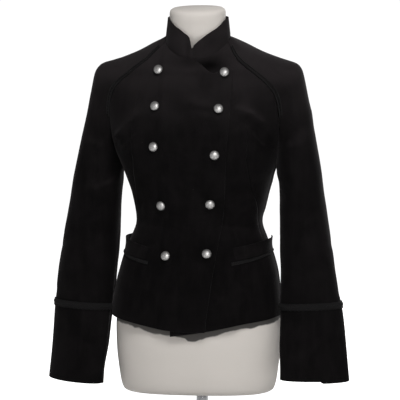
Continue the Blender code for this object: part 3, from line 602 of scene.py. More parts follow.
def unit(vectors):
    return vectors / np.maximum(np.linalg.norm(vectors, axis=-1, keepdims=True), 1e-9)


def body_normal(turn, height):
    across = section_point(BODY, turn + 0.5, height) - section_point(BODY, turn - 0.5, height)
    rise = section_point(BODY, turn, height + 2) - section_point(BODY, turn, height - 2)
    return unit(np.cross(across, rise))


def body_point(turn, height, out=0.0):
    return section_point(BODY, turn, height) + np.asarray(out)[..., None] * body_normal(turn, height)


def turn_at(x, height, behind=False):
    """The turn where the body reaches this x, on its front or its back."""
    half_width, front, back, _, squareness = np.moveaxis(BODY(height), -1, 0)
    depth = back if behind else front
    share = np.minimum(np.abs(x) / half_width, 1.0)
    fore = depth * (1 - share**squareness) ** (1 / squareness)
    angle = np.degrees(np.arctan2(np.abs(x), fore))
    return np.where(np.asarray(x) < 0, -1, 1) * (180 - angle if behind else angle)


def reference_width(height):
    return BODY(np.minimum(height, SHOULDER_HEIGHT))[..., 0]


def spread_at(x, height):
    """An even measure across the body: 0 at the centre, 90 at the side seam."""
    return np.degrees(np.arcsin(np.clip(x / reference_width(height), -1.0, 1.0)))


def turn_of_spread(spread, height, behind=False):
    return turn_at(reference_width(height) * np.sin(np.radians(spread)), height, behind)


def neck_point(turn):
    angle = np.radians(turn)
    return np.stack([
        NECK_HALF_WIDTH * np.sin(angle),
        NECK_MIDDLE - NECK_HALF_DEPTH * np.cos(angle),
        NECK_SEAM(np.abs(turn)),
    ], -1)


def smooth(low, high, value):
    share = np.clip((value - low) / (high - low), 0.0, 1.0)
    return share * share * (3 - 2 * share)


def folds_at(folds, across, height):
    """The rise of all the folds at places on the cloth."""
    rise = np.zeros(np.broadcast(across, height).shape)
    for x0, z0, x1, z1, half_width, depth in folds:
        along_x, along_z = x1 - x0, z1 - z0
        share = ((across - x0) * along_x + (height - z0) * along_z) / (along_x**2 + along_z**2)
        share = np.clip(share, 0.0, 1.0)
        away = (across - x0 - along_x * share) ** 2 + (height - z0 - along_z * share) ** 2
        rise += depth * np.exp(-away / half_width**2)
    return rise


def body_fold(x, height, behind=False):
    return folds_at(BACK_FOLDS if behind else FRONT_FOLDS, x, height)


def sleeve_fold(side, around, height):
    folds = np.array(SLEEVE_FOLDS[side]) * (SLEEVE_HALF_GIRTH, 1, SLEEVE_HALF_GIRTH, 1, 1, FALLEN)
    return folds_at(folds, around * SLEEVE_HALF_GIRTH, height)


# The sum of painted light and shade from a set of patches
def painted_light_at(patches, across, height):
    nap = np.zeros(np.broadcast(across, height).shape)
    for x, z, wide, high, amount in patches:
        nap += amount * np.exp(-(((across - x) / wide) ** 2) - ((height - z) / high) ** 2)
    return nap


def unevenness(across, height, seed):
    """The slight waviness of worn cloth, never twice the same, in millimetres."""
    wave = np.zeros(np.broadcast(across, height).shape)
    for k, (long, turn, rise) in enumerate(WAVES):
        angle = math.radians(turn + WAVE_TURN * seed)
        along = across * math.cos(angle) + height * math.sin(angle)
        wave += rise * np.sin(2 * math.pi * along / long + WAVE_SHIFT * seed * (k + 1))
    return wave


def worn_rise(side, turn, height):
    """How far a front's or back's folds and waves stand off the plain body; turn is that of the left side."""
    x = side * section_point(BODY, turn, height)[..., 0]
    folds = np.where(turn > 90, body_fold(x, height, behind=True), body_fold(x, height))
    return folds + unevenness(turn * TURN_LENGTH, height, side)


def over_lift(x, height):
    """How far the wearer's right front stands off the left front that it lies on."""
    gx, gz = GAPE_PLACE
    away = ((x - gx) ** 2 + (height - gz) ** 2) / GAPE_SPREAD**2
    return OVERLAP_LIFT * smooth(*OVERLAP_RAMP, x) + GAPE * np.exp(-away) * smooth(*GAPE_RAMP, x)


def hip_flare(turn, height):
    """How far the right side seam swings out towards the hem."""
    return HIP_FLARE * smooth(*HIP_FLARE_TURNS, turn) * smooth(*HIP_FLARE_HEIGHTS, height)


# Panels


def places(intervals, per_interval):
    """Places along a side, closer together beside both ends, where the cloth turns in."""
    step = 1 / per_interval
    even = np.arange(0, intervals + step / 2, step)
    near = step * np.array(TURN_STEPS)
    return np.unique(np.concatenate([even, near, intervals - near]))


def shares(intervals):
    """Such places as shares of the whole side."""
    return places(intervals, 1) / intervals


def panel_grid(boundary, share, rows, edge_spread, hem, lift, behind):
    """Points from the upper edge down to the hem, for a panel on the wearer's left."""
    top_x, top_height, step = boundary
    edge = edge_spread(top_height)
    top_share = (spread_at(top_x, top_height) - edge) / (90 - edge)
    r = rows[:, None]
    share = share + (top_share - share) * smooth(FOLLOW_FROM, 1.0, r)
    height = np.broadcast_to(top_height, share.shape)
    # The hem depends on the turn, and the turn on the height, so they are brought together step by step
    for _ in range(PANEL_ROUNDS):
        edge = edge_spread(height)
        turn = turn_of_spread(edge + (90 - SEAM_SPREAD - edge) * share, height, behind)
        height = hem(turn) + (top_height - hem(turn)) * r
    points = body_point(turn, height, lift(turn, height))
    return points + step * smooth(NECK_STEP_FROM, 1.0, r)[..., None], turn, height


def neck_boundary(turns, behind):
    """The panel's share of the neck seam, just under the collar and the sleeve."""
    points = neck_point(turns) - np.array([0, 0, SEAM_GAP])
    start = section_point(BODY, turn_at(points[:, 0], points[:, 2], behind), points[:, 2])
    return points[:, 0], points[:, 2], points - start


def seam_boundary(seam, along):
    x, height = np.moveaxis(seam(along), -1, 0)
    return x, height, np.zeros((len(x), 3))


def joined(*parts):
    return tuple(np.concatenate([part[k] for part in parts]) for k in range(3))


def front_panel(side):
    """Points, turns and heights of a front: its boundary runs from the free corner to the underarm."""
    if side < 0:
        reach_at, upper_edge, hem = RIGHT_REACH, RIGHT_UPPER_EDGE, RIGHT_HEM
    else:
        reach_at, upper_edge, hem = LEFT_REACH, LEFT_UPPER_EDGE, LEFT_HEM

    def edge_spread(height):
        return spread_at(-reach_at(height), height)

    def lift(turn, height):
        x = side * section_point(BODY, turn, height)[..., 0]
        over = over_lift(x, height) + hip_flare(turn, height) if side < 0 else 0
        return over + worn_rise(side, turn, height)

    free, neck, cap = FRONT_INTERVALS[side]
    k = places(free + neck + cap, PANEL_FINENESS)
    past = float(reach_at(UPPER_CORNER_HEIGHT)) * (1 - k[k < free] / free)
    turns = NECK_FRONT_CORNER * (k[(k >= free) & (k < free + neck)] - free) / neck
    along = SLEEVE_CAP(UNDERARM_STATION * (k[k >= free + neck] - free - neck) / cap)[:, 0]
    boundary = joined(
        (-past, upper_edge(past), np.zeros((len(past), 3))),
        neck_boundary(turns, behind=False),
        seam_boundary(RAGLAN_FRONT, along),
    )
    rows = 1 - shares(PANEL_ROWS)
    return panel_grid(boundary, k / k[-1], rows, edge_spread, hem, lift, behind=False)


def back_panel(side):
    """Points, turns and heights of a back: its boundary runs from the centre back to the underarm."""

    def edge_spread(height):
        return np.degrees(SEAM_GAP / 2 / reference_width(height))

    def lift(turn, height):
        flare = hip_flare(180 - turn, height) if side < 0 else 0
        return flare + worn_rise(side, turn, height)

    neck, cap = BACK_INTERVALS
    k = places(neck + cap, PANEL_FINENESS)
    turns = 180 + (NECK_BACK_CORNER - 180) * k[k < neck] / neck
    along = SLEEVE_CAP(UNDERARM_STATION * (k[k >= neck] - neck) / cap)[:, 1]
    boundary = joined(neck_boundary(turns, behind=True), seam_boundary(RAGLAN_BACK, along))
    rows = 1 - shares(PANEL_ROWS)
    return panel_grid(boundary, k / k[-1], rows, edge_spread, BACK_HEM, lift, behind=True)


# Sleeves


def raglan_ends(table):
    """Where rows of the cap meet the front and back raglan seams."""
    x, height = np.moveaxis(RAGLAN_FRONT(table[..., 0]), -1, 0)
    front = section_point(BODY, turn_at(x, height), height)
    x, height = np.moveaxis(RAGLAN_BACK(table[..., 1]), -1, 0)
    return front, section_point(BODY, turn_at(x, height, behind=True), height)


def cap_frame(station):
    """Front, back and top points, half arc and half depth of rows across the sleeve cap."""
    table = SLEEVE_CAP(station)
    front, back = raglan_ends(table)
    half_chord = np.linalg.norm(back - front, axis=-1) / 2
    low = SLEEVE_CAP(LAST_OPEN_STATION)
    low_front, low_back = raglan_ends(low)
    low_depth = np.linalg.norm(low_back - low_front) / 2 / math.sin(math.radians(low[5]))
    arc = np.radians(table[..., 5])
    open_depth = half_chord / np.sin(np.minimum(arc, 0.99 * math.pi))
    closing = low_depth + (UNDERARM_HALF_DEPTH - low_depth) * (station - LAST_OPEN_STATION)
    is_open = station <= LAST_OPEN_STATION
    depth = np.where(is_open, open_depth, closing)
    closing_arc = math.pi - np.arcsin(np.minimum(half_chord / depth, 1.0))
    return front, back, table[..., 2:5], np.where(is_open, arc, closing_arc), depth


def cap_surface(station, around):
    """Points of the plain cap, each row an arc over its chord."""
    front, back, top, arc, depth = cap_frame(station)
    middle = (front + back) / 2
    angle = arc * around
    share = (np.cos(angle) - np.cos(arc)) / (1 - np.cos(arc))
    across = unit(back - front) * (depth * np.sin(angle))[..., None]
    return middle + (top - middle) * share[..., None] + across


def cap_point(station, around):
    """Points of the sleeve cap; around runs from -1 at the front seam to 1 at the back seam."""
    station, around = np.broadcast_arrays(np.asarray(station, float), np.asarray(around, float))
    points = cap_surface(station, around)
    turn = NECK_FRONT_CORNER + (NECK_BACK_CORNER - NECK_FRONT_CORNER) * (around + 1) / 2
    seam = neck_point(turn) - np.array([0, 0, SEAM_GAP])
    step = seam - cap_surface(np.zeros_like(station), around)
    return points + step * (1 - smooth(0, 1, station))[..., None]


def ring_point(side, height, around, out=0.0):
    """Points of the sleeve below the underarm; around runs once round, 0 at the outer edge."""
    out = out + SLEEVE_TRIM[side](height) * smooth(UNDERARM_HEIGHT, SLEEVE_TRIM_HEIGHT, height)
    height, around, out = np.broadcast_arrays(*[np.asarray(v, float) for v in (height, around, out)])
    x, y, half_width, half_depth, turn = np.moveaxis(SLEEVE_RINGS(UNDERARM_HEIGHT - height), -1, 0)
    turn = np.radians(turn)
    wide = (half_width + out) * np.cos(math.pi * around)
    deep = (half_depth + out) * np.sin(math.pi * around)
    x = x + wide * np.cos(turn) - deep * np.sin(turn)
    return np.stack([x, y + wide * np.sin(turn) + deep * np.cos(turn), height], -1)


def cap_rows(stations, around):
    """Rows of the cap, a little short of the raglan seams; around holds the places of its columns."""
    stations = np.minimum(stations, LAST_STATION)
    _, _, _, arc, depth = cap_frame(stations)
    inset = SEAM_GAP * SEAM_SLANT / (arc * depth)
    limit = 1 - inset * smooth(UNDERARM_STATION, UNDERARM_STATION - 1, stations)
    return cap_point(stations[:, None], limit[:, None] * around)


def sleeve_places():
    """Where the sleeve's columns lie round it, from -1 at the front seam to 1 at the back seam."""
    return shares(SLEEVE_COLUMNS) * 2 - 1


def sleeve_panel(side):
    """Points of a sleeve on the wearer's left, and the row where its tube closes."""
    around = sleeve_places()
    cap = cap_rows(shares(SLEEVE_CAP_ROWS) * UNDERARM_STATION, around)
    outer = (1 - around**2) ** 2
    cap[..., 2] -= SHOULDER_DROP[side](cap[..., 0]) * outer * smooth(*SHOULDER_DROP_HEIGHTS, cap[..., 2])
    if side > 0:
        cap[..., 0] += LEFT_SHOULDER_TRIM(cap[..., 2]) * smooth(*SHOULDER_TRIM_ACROSS, cap[..., 0])

    share = shares(SLEEVE_ARM_ROWS)[len(TURN_STEPS) + 1:, None]
    height = UNDERARM_HEIGHT + (cuff_top(side, around) + SEAM_GAP / 2 - UNDERARM_HEIGHT) * share
    waves = unevenness(around * SLEEVE_HALF_GIRTH, height, side * 3)
    out = sleeve_fold(side, around, height) + waves * smooth(0, ARM_FOLDS_FROM, share)
    arm = ring_point(side, height, around, out)
    slope = cap_point(LAST_STATION, around) - ring_point(side, UNDERARM_HEIGHT, around)
    arm = arm + slope * (1 - smooth(0, ARM_BLEND, share))[..., None]

    points = np.concatenate([cap, arm])
    join_bend(points, len(cap) - 1, outer)
    return points, len(cap) - 1


def join_bend(points, join, amount):
    """Draws the rows beside the underarm as one smooth bend, by an amount for each column."""
    first, last = join - BEND_ROWS[0], join + BEND_ROWS[1]
    rows = points[first : last + 1]
    run = run_along(rows, 0)
    share, reach = (run / run[-1])[..., None], run[-1][:, None]
    start = unit(points[first] - points[first - 1]) * reach
    end = unit(points[last + 1] - points[last]) * reach
    bend = (2 * share**3 - 3 * share**2 + 1) * rows[0] + (share**3 - 2 * share**2 + share) * start
    bend += (3 * share**2 - 2 * share**3) * rows[-1] + (share**3 - share**2) * end
    rows += (bend - rows) * amount[:, None]


def inward(around):
    """0 at the sleeve's outer edge, 1 beside the body."""
    return (1 - np.cos(math.pi * around)) / 2


def cuff_top(side, around):
    return CUFF_TOP - CUFF_TILT[side] * inward(around)


def cuff_panel(side):
    share = shares(CUFF_ROWS)[:, None]
    around = np.linspace(-1, 1, SLEEVE_COLUMNS + 1)
    hem = CUFF_HEM - CUFF_HEM_DIP * np.abs(np.sin(math.pi * around)) - HEM_TILT[side] * inward(around)
    top = cuff_top(side, around)
    if side > 0:
        step = smooth(CUFF_VENT, CUFF_VENT + CUFF_VENT_WIDTH, around) * smooth(*CUFF_VENT_FADES, around)
        hem += LEFT_CUFF_RISE - CUFF_VENT_STEP * step
    height = top - SEAM_GAP / 2 + (hem - top) * share
    wave = np.zeros(height.shape)
    for at, width, rise in CUFF_WAVES[side]:
        away = (around - at + 1) % 2 - 1
        wave += rise * np.exp(-((away / width) ** 2)) * share**CUFF_WAVE_FADE
    return ring_point(side, height, np.broadcast_to(around, height.shape), wave)


def collar_panel():
    """Points of the stand collar, from one front edge round the back to the other."""
    turns = (COLLAR_ENDS[0] + (COLLAR_ENDS[1] - COLLAR_ENDS[0]) * shares(COLLAR_COLUMNS))[None, :]
    near = np.minimum(turns, np.abs(360 - turns))
    over = COLLAR_OVERLAP * smooth(*COLLAR_OVERLAP_TURNS, turns)
    share = (1 - shares(COLLAR_ROWS))[:, None]
    foot = NECK_SEAM(near) - COLLAR_TUCK
    height = foot + (COLLAR_TOP(near) + COLLAR_SAG(turns) - foot) * share
    up = height - foot
    lean = COLLAR_LEAN * up / COLLAR_FRONT_HEIGHT + COLLAR_FOOT_ROLL * smooth(COLLAR_FOOT_ROLL_HEIGHT, 0, up)
    roll = np.zeros(height.shape)
    for turn, high, width, rise in COLLAR_WAVES:
        away = ((turns - turn) / width) ** 2 + ((share - high) / COLLAR_WAVE_HEIGHT) ** 2
        roll += rise * np.exp(-away)
    angle = np.radians(turns)
    x = (NECK_HALF_WIDTH - lean + roll + over) * np.sin(angle)
    y = NECK_MIDDLE - (NECK_HALF_DEPTH - lean * COLLAR_DEPTH_LEAN + roll + over) * np.cos(angle)
    return np.stack([x, y, height], -1)


def over_cloth(side, turn, height, out):
    """Points over the folded cloth of a front or back, on the wearer's left."""
    return body_point(turn, height, out + worn_rise(side, turn, height))


def welt_panel(side):
    turns = POCKET_TURNS[0] + (POCKET_TURNS[1] - POCKET_TURNS[0]) * shares(WELT_COLUMNS)
    share = (1 - shares(WELT_ROWS))[:, None]
    height = POCKET_FOOT(turns) + (POCKET_HEAD(turns) - POCKET_FOOT(turns)) * share
    gape = POCKET_GAPE(turns) * smooth(*WELT_GAPE_TURNS, turns) * share**WELT_CURL
    out = (LAYER_GAP + WALL) * smooth(*WELT_RISE_TURNS, turns) - WELT_SINK + gape
    return over_cloth(side, np.broadcast_to(turns, height.shape), height, out)


# Meshes


def add_mesh(name, points, faces, finish):
    mesh = bpy.data.meshes.new(name)
    mesh.from_pydata((np.asarray(points).reshape(-1, 3) * MM).tolist(), [], faces)
    mesh.validate()
    mesh.shade_smooth()
    mesh.materials.append(bpy.data.materials[finish])
    made = bpy.data.objects.new(name, mesh)
    bpy.context.scene.collection.objects.link(made)
    return made


def grid_faces(index, flip=False):
    """Quads over a table of point numbers, triangles where two of them are the same."""
    corners = [index[:-1, :-1], index[:-1, 1:], index[1:, 1:], index[1:, :-1]]
    faces = np.stack([corner.ravel() for corner in corners], -1)
    if flip:
        faces = faces[:, ::-1]
    return [list(dict.fromkeys(face)) for face in faces.tolist()]


def run_along(points, axis):
    """Distance from the first point of each line along this axis."""
    steps = np.linalg.norm(np.diff(points, axis=axis), axis=-1)
    start = np.zeros_like(np.take(steps, [0], axis=axis))
    return np.concatenate([start, np.cumsum(steps, axis=axis)], axis=axis)


def from_ends(points, axis):
    """Distance from the nearer end of each line along this axis."""
    run = run_along(points, axis)
    return np.minimum(run, np.take(run, [-1], axis=axis) - run)


def border_distance(points, closed_from, foot_too):
    """Distance from the nearest border; the side borders end at the row where a tube closes."""
    distance = from_ends(points, 0) if foot_too else run_along(points, 0)
    distance[:closed_from] = np.minimum(distance[:closed_from], from_ends(points, 1)[:closed_from])
    return distance


def cloth(name, points, wall=WALL, closed_from=None, axis=BODY_AXIS, seam=None, nap=None, foot_too=True):
    """A piece of cloth with its borders turned in, made thick by Solidify, its outer face at the points.

    The axis is the middle line that the outer face looks away from. Of a tube, the first and last columns are
    one from the row closed_from on. Seam holds the distance from a seam at each point, and the argument after
    it holds the painted light and shade there.
    """
    rows, columns = points.shape[:2]
    index = np.arange(rows * columns).reshape(rows, columns)
    if closed_from is not None:
        index[closed_from:, -1] = index[closed_from:, 0]
    normal = np.cross(points[:-1, 1:] - points[:-1, :-1], points[1:, :-1] - points[:-1, :-1])
    outward = points[:-1, :-1, :2] - axis
    flip = float((normal[..., :2] * outward).sum()) < 0
    made = add_mesh(name, points, grid_faces(index, flip), "velvet")
    mesh = made.data
    normals = np.empty(len(mesh.vertices) * 3, np.float32)
    mesh.vertices.foreach_get("normal", normals)
    edge = border_distance(points, closed_from, foot_too).ravel()
    rest = np.clip(TURN_IN - edge, 0, TURN_IN)
    sink = TURN_IN - np.sqrt(np.maximum(TURN_IN**2 - rest**2, 0))
    placed = points.reshape(-1, 3) - normals.reshape(-1, 3) * sink[:, None]
    mesh.vertices.foreach_set("co", (placed * MM).astype(np.float32).ravel())
    set_attribute(mesh, "edge_mm", edge)
    set_attribute(mesh, "seam_mm", np.full(rows * columns, FAR) if seam is None else seam.ravel())
    set_attribute(mesh, "nap", np.zeros(rows * columns) if nap is None else nap.ravel())
    mesh.update()
    thick = made.modifiers.new("Wall", "SOLIDIFY")
    thick.thickness = wall * MM
    thick.offset = -1
    return made


def set_attribute(mesh, name, values):
    layer = mesh.attributes.new(name, "FLOAT", "POINT")
    layer.data.foreach_set("value", np.asarray(values, np.float32))


def tube(path, radius, sides=6, closed=False):
    """Points and faces of a cord along a path."""
    path = np.asarray(path, float)
    after = np.roll(path, -1, 0) if closed else np.concatenate([path[1:], path[-1:]])
    before = np.roll(path, 1, 0) if closed else np.concatenate([path[:1], path[:-1]])
    along = unit(after - before)
    side = unit(np.cross(along, np.where(np.abs(along[:, 2:]) > 0.9, (1.0, 0, 0), (0, 0, 1.0))))
    up = np.cross(side, along)
    angle = np.linspace(0, 2 * math.pi, sides, endpoint=False)[None, :, None]
    points = path[:, None] + radius * (side[:, None] * np.cos(angle) + up[:, None] * np.sin(angle))
    index = np.arange(len(path) * sides).reshape(len(path), sides)
    index = np.concatenate([index, index[:, :1]], 1)
    if closed:
        index = np.concatenate([index, index[:1]])
    faces = grid_faces(index, flip=True)
    if not closed:
        faces += [index[0, :-1].tolist(), index[-1, :-1][::-1].tolist()]
    return points.reshape(-1, 3), faces


def tape(upper, lower, normal, thickness):
    """A flat strip between two lines of points, as thick as given."""
    rows = np.stack([upper, upper + normal * thickness, lower + normal * thickness, lower])
    index = np.arange(4 * len(upper)).reshape(4, -1)
    index = np.concatenate([index, index[:1]])
    faces = grid_faces(index, flip=True)
    faces += [index[:4, 0].tolist(), index[:4, -1][::-1].tolist()]
    return rows.reshape(-1, 3), faces


def bob(middle, half_range, step):
    """How far out a plait's strand lies, over and under the others twice in each swing."""
    return middle + half_range * np.cos(2 * step)


def combined(name, parts, finish):
    """One mesh of several pairs of points and faces."""
    points, faces, count = [], [], 0
    for some, their_faces in parts:
        points.append(some)
        faces += [[number + count for number in face] for face in their_faces]
        count += len(some)
    return add_mesh(name, np.concatenate(points), faces, finish)


def turned(name, profile, finish, steps):
    """A closed lathe shape from (radius, height) rows, from its foot to its top, about its own Z."""
    profile = np.array(profile, float)
    angle = np.linspace(0, 2 * math.pi, steps, endpoint=False)
    radius, height = profile[:, :1], profile[:, 1:]
    points = np.stack(
        [radius * np.cos(angle), radius * np.sin(angle), np.broadcast_to(height, (len(profile), steps))], -1
    )
    index = np.arange(len(profile) * steps).reshape(len(profile), steps)
    index = np.where(radius < 1e-6, index[:, :1], index)
    index = np.concatenate([index, index[:, :1]], 1)
    faces = [face for face in grid_faces(index) if len(face) > 2]
    return add_mesh(name, points, faces, finish)


def rounded(profile, radius):
    """A profile with its corners rounded, apart from its two ends."""
    profile = [np.array(point, float) for point in profile]
    rows = [profile[0]]
    for before, corner, after in zip(profile, profile[1:], profile[2:]):
        # A rounding takes up less than half of the shorter side beside its corner
        sides = (before - corner, after - corner)
        reach = min(radius, *(np.linalg.norm(side) / CORNER_PART for side in sides))
        start, end = [corner + reach * side / np.linalg.norm(side) for side in sides]
        for share in np.linspace(0, 1, CORNER_STEPS + 1):
            rows.append(start * (1 - share) ** 2 + corner * 2 * share * (1 - share) + end * share**2)
    rows.append(profile[-1])
    return np.array(rows)


def piece(made, node):
    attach(made, BODY_NAME)
    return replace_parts(made, node)


def cloth_piece(name, node, side, points, axis=BODY_AXIS, **details):
    """A piece of cloth that stands for a node, from points and a middle line on the wearer's left."""
    axis = (side * axis[0], axis[1])
    return piece(cloth(f"cloth_{name}", points * (side, 1, 1), axis=axis, **details), node)


# Materials


class Value:
    """A shader socket that takes part in sums, each of which adds a Math node."""

    def __init__(self, graph, socket):
        self.graph = graph
        self.socket = socket

    def _sum(self, operation, *values):
        return self.graph.node("ShaderNodeMath", {"operation": operation}, dict(enumerate(values)))[0]

    def __add__(self, other):
        return self._sum("ADD", self, other)

    def __radd__(self, other):
        return self._sum("ADD", other, self)

    def __sub__(self, other):
        return self._sum("SUBTRACT", self, other)

    def __rsub__(self, other):
        return self._sum("SUBTRACT", other, self)

    def __mul__(self, other):
        return self._sum("MULTIPLY", self, other)

    def __rmul__(self, other):
        return self._sum("MULTIPLY", other, self)

    def __abs__(self):
        return self._sum("ABSOLUTE", self)

    def at_least(self, other):
        return self._sum("MAXIMUM", self, other)

    def at_most(self, other):
        return self._sum("MINIMUM", self, other)

    def ramp(self, low, high):
        """0 below low and 1 above high, smooth between them."""
        settings = {"interpolation_type": "SMOOTHSTEP"}
        inputs = {"Value": self, "From Min": low, "From Max": high}
        return self.graph.node("ShaderNodeMapRange", settings, inputs)[0]


class Graph:
    """The nodes of one material or world."""

    def __init__(self, owner):
        owner.use_nodes = True
        self.tree = owner.node_tree
        self.tree.nodes.clear()

    def node(self, kind, settings=None, inputs=None):
        """A new node's outputs, with its settings made before its sockets are filled."""
        made = self.tree.nodes.new(kind)
        for key, value in (settings or {}).items():
            setattr(made, key, value)
        for key, value in (inputs or {}).items():
            socket = made.inputs[key]
            if isinstance(value, Value):
                self.tree.links.new(value.socket, socket)
            else:
                socket.default_value = value
        return [Value(self, output) for output in made.outputs if output.enabled]

    def mix(self, share, first, second):
        """A colour between two colours."""
        first, second = [value if isinstance(value, Value) else (*value, 1) for value in (first, second)]
        settings = {"data_type": "RGBA"}
        return self.node("ShaderNodeMix", settings, {"Factor": share, 6: first, 7: second})[0]

    def output(self, kind, name, settings=None):
        """One named output of a new node."""
        return next(value for value in self.node(kind, settings) if value.socket.name == name)

    def attribute(self, name):
        return self.output("ShaderNodeAttribute", "Fac", {"attribute_name": name})

    def position(self):
        return self.output("ShaderNodeTexCoord", "Object")

    def height_of(self, vector):
        return self.node("ShaderNodeSeparateXYZ", {}, {0: vector})[2]

    def stretched(self, place, squeeze):
        """The place for a noise that is drawn out along Z."""
        settings = {"operation": "MULTIPLY"}
        return self.node("ShaderNodeVectorMath", settings, {0: place, 1: (1.0, 1.0, squeeze)})[0]

    def noise(self, place, scale, detail, rough, warp=0.0):
        inputs = {"Vector": place, "Scale": scale, "Detail": detail, "Roughness": rough, "Distortion": warp}
        return self.node("ShaderNodeTexNoise", {}, inputs)[0]

    def bump(self, height, distance, strength):
        inputs = {"Height": height, "Distance": distance, "Strength": strength}
        return self.node("ShaderNodeBump", {}, inputs)[0]

    def surface(self, **sockets):
        """The closing Principled BSDF; an underscore in a name stands for a space."""
        inputs = {key.replace("_", " "): value for key, value in sockets.items()}
        inputs = {key: (*value, 1) if isinstance(value, tuple) else value for key, value in inputs.items()}
        shader = self.node("ShaderNodeBsdfPrincipled", {}, inputs)[0]
        self.node("ShaderNodeOutputMaterial", {}, {"Surface": shader})


def new_material(name):
    old = bpy.data.materials.get(name)
    if old:
        bpy.data.materials.remove(old)
    return Graph(bpy.data.materials.new(name))


def darker(colour, share):
    return tuple(share * part for part in colour)


# Colours that no setting changes
# The near-black of painted shade
PAINTED_SHADE = (0.0010, 0.0008, 0.0008)
# Grey of dust and lint, also the colour that the buttons' random tarnish and painted rim shade go towards
DUST_AND_SHADE = (0.10, 0.095, 0.09)
CHROME = (0.62, 0.62, 0.63)
CHROME_SMEARED = (0.45, 0.45, 0.47)
BLACK = (0.0, 0.0, 0.0)
WHITE = (1.0, 1.0, 1.0)
# The floor and the space behind show bright in the picture, but this is all that they light the pieces by
FAINT = 0.12


def make_velvet(settings):
    g = new_material("velvet")
    place = g.position()
    edge = g.attribute("edge_mm")
    seam = abs(g.attribute("seam_mm"))
    nap = g.attribute("nap")
    crushed = g.noise(place, 21, 4, 0.6, 0.6)
    brushed = g.noise(g.stretched(place, 0.16), 75, 3, 0.6)
    fine = g.noise(place, 520, 2, 0.7)
    pile = g.noise(place, 1900, 2, 0.6)
    lint = g.noise(place, 240, 1, 0.5).ramp(0.78, 0.83) * g.noise(place, 33, 1, 0.5).ramp(0.55, 0.7)

    # Painted highlight: the colour is lighter where the cloth slopes up and higher up the body, most of all on
    # the shoulders
    slant = g.height_of(g.output("ShaderNodeNewGeometry", "Normal")).ramp(0.08, 0.6)
    tall = g.height_of(place)
    light = crushed * 0.4 + brushed * 0.25 + fine * 0.3 - 0.39 + tall.ramp(0.59, 0.75) * 0.30 + nap * 0.5
    light = light + slant * (tall.ramp(0.46, 0.53) * 0.28 + 0.12)
    # Painted shade darkens the borders and seams towards near-black, and also where the patches are darker
    painted_shade = (1 - edge.ramp(0.2, 1.3)) * 0.3 + (1 - seam.ramp(0.0, 0.9)) * 0.6
    painted_shade = painted_shade + (0 - nap).at_least(0.0) * 0.75
    colour = g.mix(light.at_least(0.0).at_most(1.0), settings.velvet_dark, settings.velvet_light)
    colour = g.mix(painted_shade.at_most(1.0), colour, PAINTED_SHADE)
    colour = g.mix(lint * 0.35, colour, DUST_AND_SHADE)

    # Short ripples square to the seams fade a few millimetres from them
    pucker = ((1 - seam.ramp(0.6, 8.0)) + (1 - edge.ramp(0.6, 8.0))) * g.noise(place, 95, 2, 0.5) * 0.7
    height = pile * 0.25 + fine * 0.6 + crushed * 1.1 + brushed * 0.6
    height = height - (1 - seam.ramp(0.1, 1.4)) * 1.6 - pucker
    g.surface(
        Base_Color=colour,
        Roughness=0.86 + crushed * 0.12,
        Normal=g.bump(height, 0.0007, 0.75),
        Specular_IOR_Level=0.05,
        Sheen_Weight=settings.sheen,
        Sheen_Roughness=0.35,
        Sheen_Tint=(0.92, 0.86, 0.88),
    )


def make_braid(settings):
    g = new_material("braid")
    place = g.position()
    threads = g.noise(g.stretched(place, 0.5), 900, 3, 0.6)
    patches = g.noise(place, 34, 2, 0.5)
    colour = g.mix(threads * 0.6 + patches * 1.1 - 0.4, settings.braid_dark, settings.braid_light)
    g.surface(
        Base_Color=colour,
        Roughness=0.62 + threads * 0.2,
        Normal=g.bump(threads, 0.0004, 0.7),
        Specular_IOR_Level=0.15,
        Sheen_Weight=0.03,
        Sheen_Roughness=0.5,
    )


def make_pewter(settings):
    g = new_material("pewter")
    place = g.position()
    rim = g.attribute("rim")
    mottle = g.noise(place, 260, 4, 0.65, 0.8)
    scuffs = g.noise(place, 1100, 2, 0.6)
    # Random tarnish from the mottle, and painted shade that darkens each dome towards its rim
    tarnish_and_rim_shade = (mottle * 0.55 + rim * 0.75 - 0.12).at_least(0.0).at_most(1.0)
    colour = g.mix(tarnish_and_rim_shade, settings.metal, DUST_AND_SHADE)
    g.surface(
        Base_Color=colour,
        Metallic=0.96 - tarnish_and_rim_shade * 0.25,
        Roughness=0.38 + mottle * 0.14 + scuffs * 0.06,
        Normal=g.bump(mottle + scuffs * 0.3, 0.00025, 0.5),
    )


def make_jersey(settings):
    g = new_material("jersey")
    place = g.position()
    knit = g.noise(g.stretched(place, 0.45), 1500, 2, 0.55)
    soft = g.noise(place, 14, 3, 0.5)
    rub = g.noise(place, 6, 2, 0.5).ramp(0.45, 0.75)
    colour = g.mix(soft * 0.5 + rub * 0.3, settings.jersey, darker(settings.jersey, 0.93))
    # Painted shade darkens the cover under the jacket, and a painted shadow darkens a strip with an uneven
    # foot below its hem
    below = g.attribute("below_hem") + g.noise(place, 21, 3, 0.5) * 20 - 10
    colour = g.mix((1 - below.ramp(9.0, 12.5)) * 0.95, colour, darker(settings.jersey, 0.10))
    g.surface(
        Base_Color=colour,
        Roughness=0.82 + knit * 0.1,
        Normal=g.bump(knit * 0.5 + soft * 0.6, 0.0004, 0.6),
        Specular_IOR_Level=0.2,
        Sheen_Weight=0.1,
        Sheen_Roughness=0.5,
    )


def make_chrome():
    g = new_material("chrome")
    place = g.position()
    smears = g.noise(place, 18, 3, 0.5)
    scratches = g.noise(g.stretched(place, 0.03), 900, 2, 0.6)
    g.surface(
        Base_Color=g.mix(smears * 0.6, CHROME, CHROME_SMEARED),
        Metallic=1.0,
        Roughness=0.07 + smears * 0.1 + scratches * 0.06,
        Normal=g.bump(scratches, 0.00005, 0.3),
    )


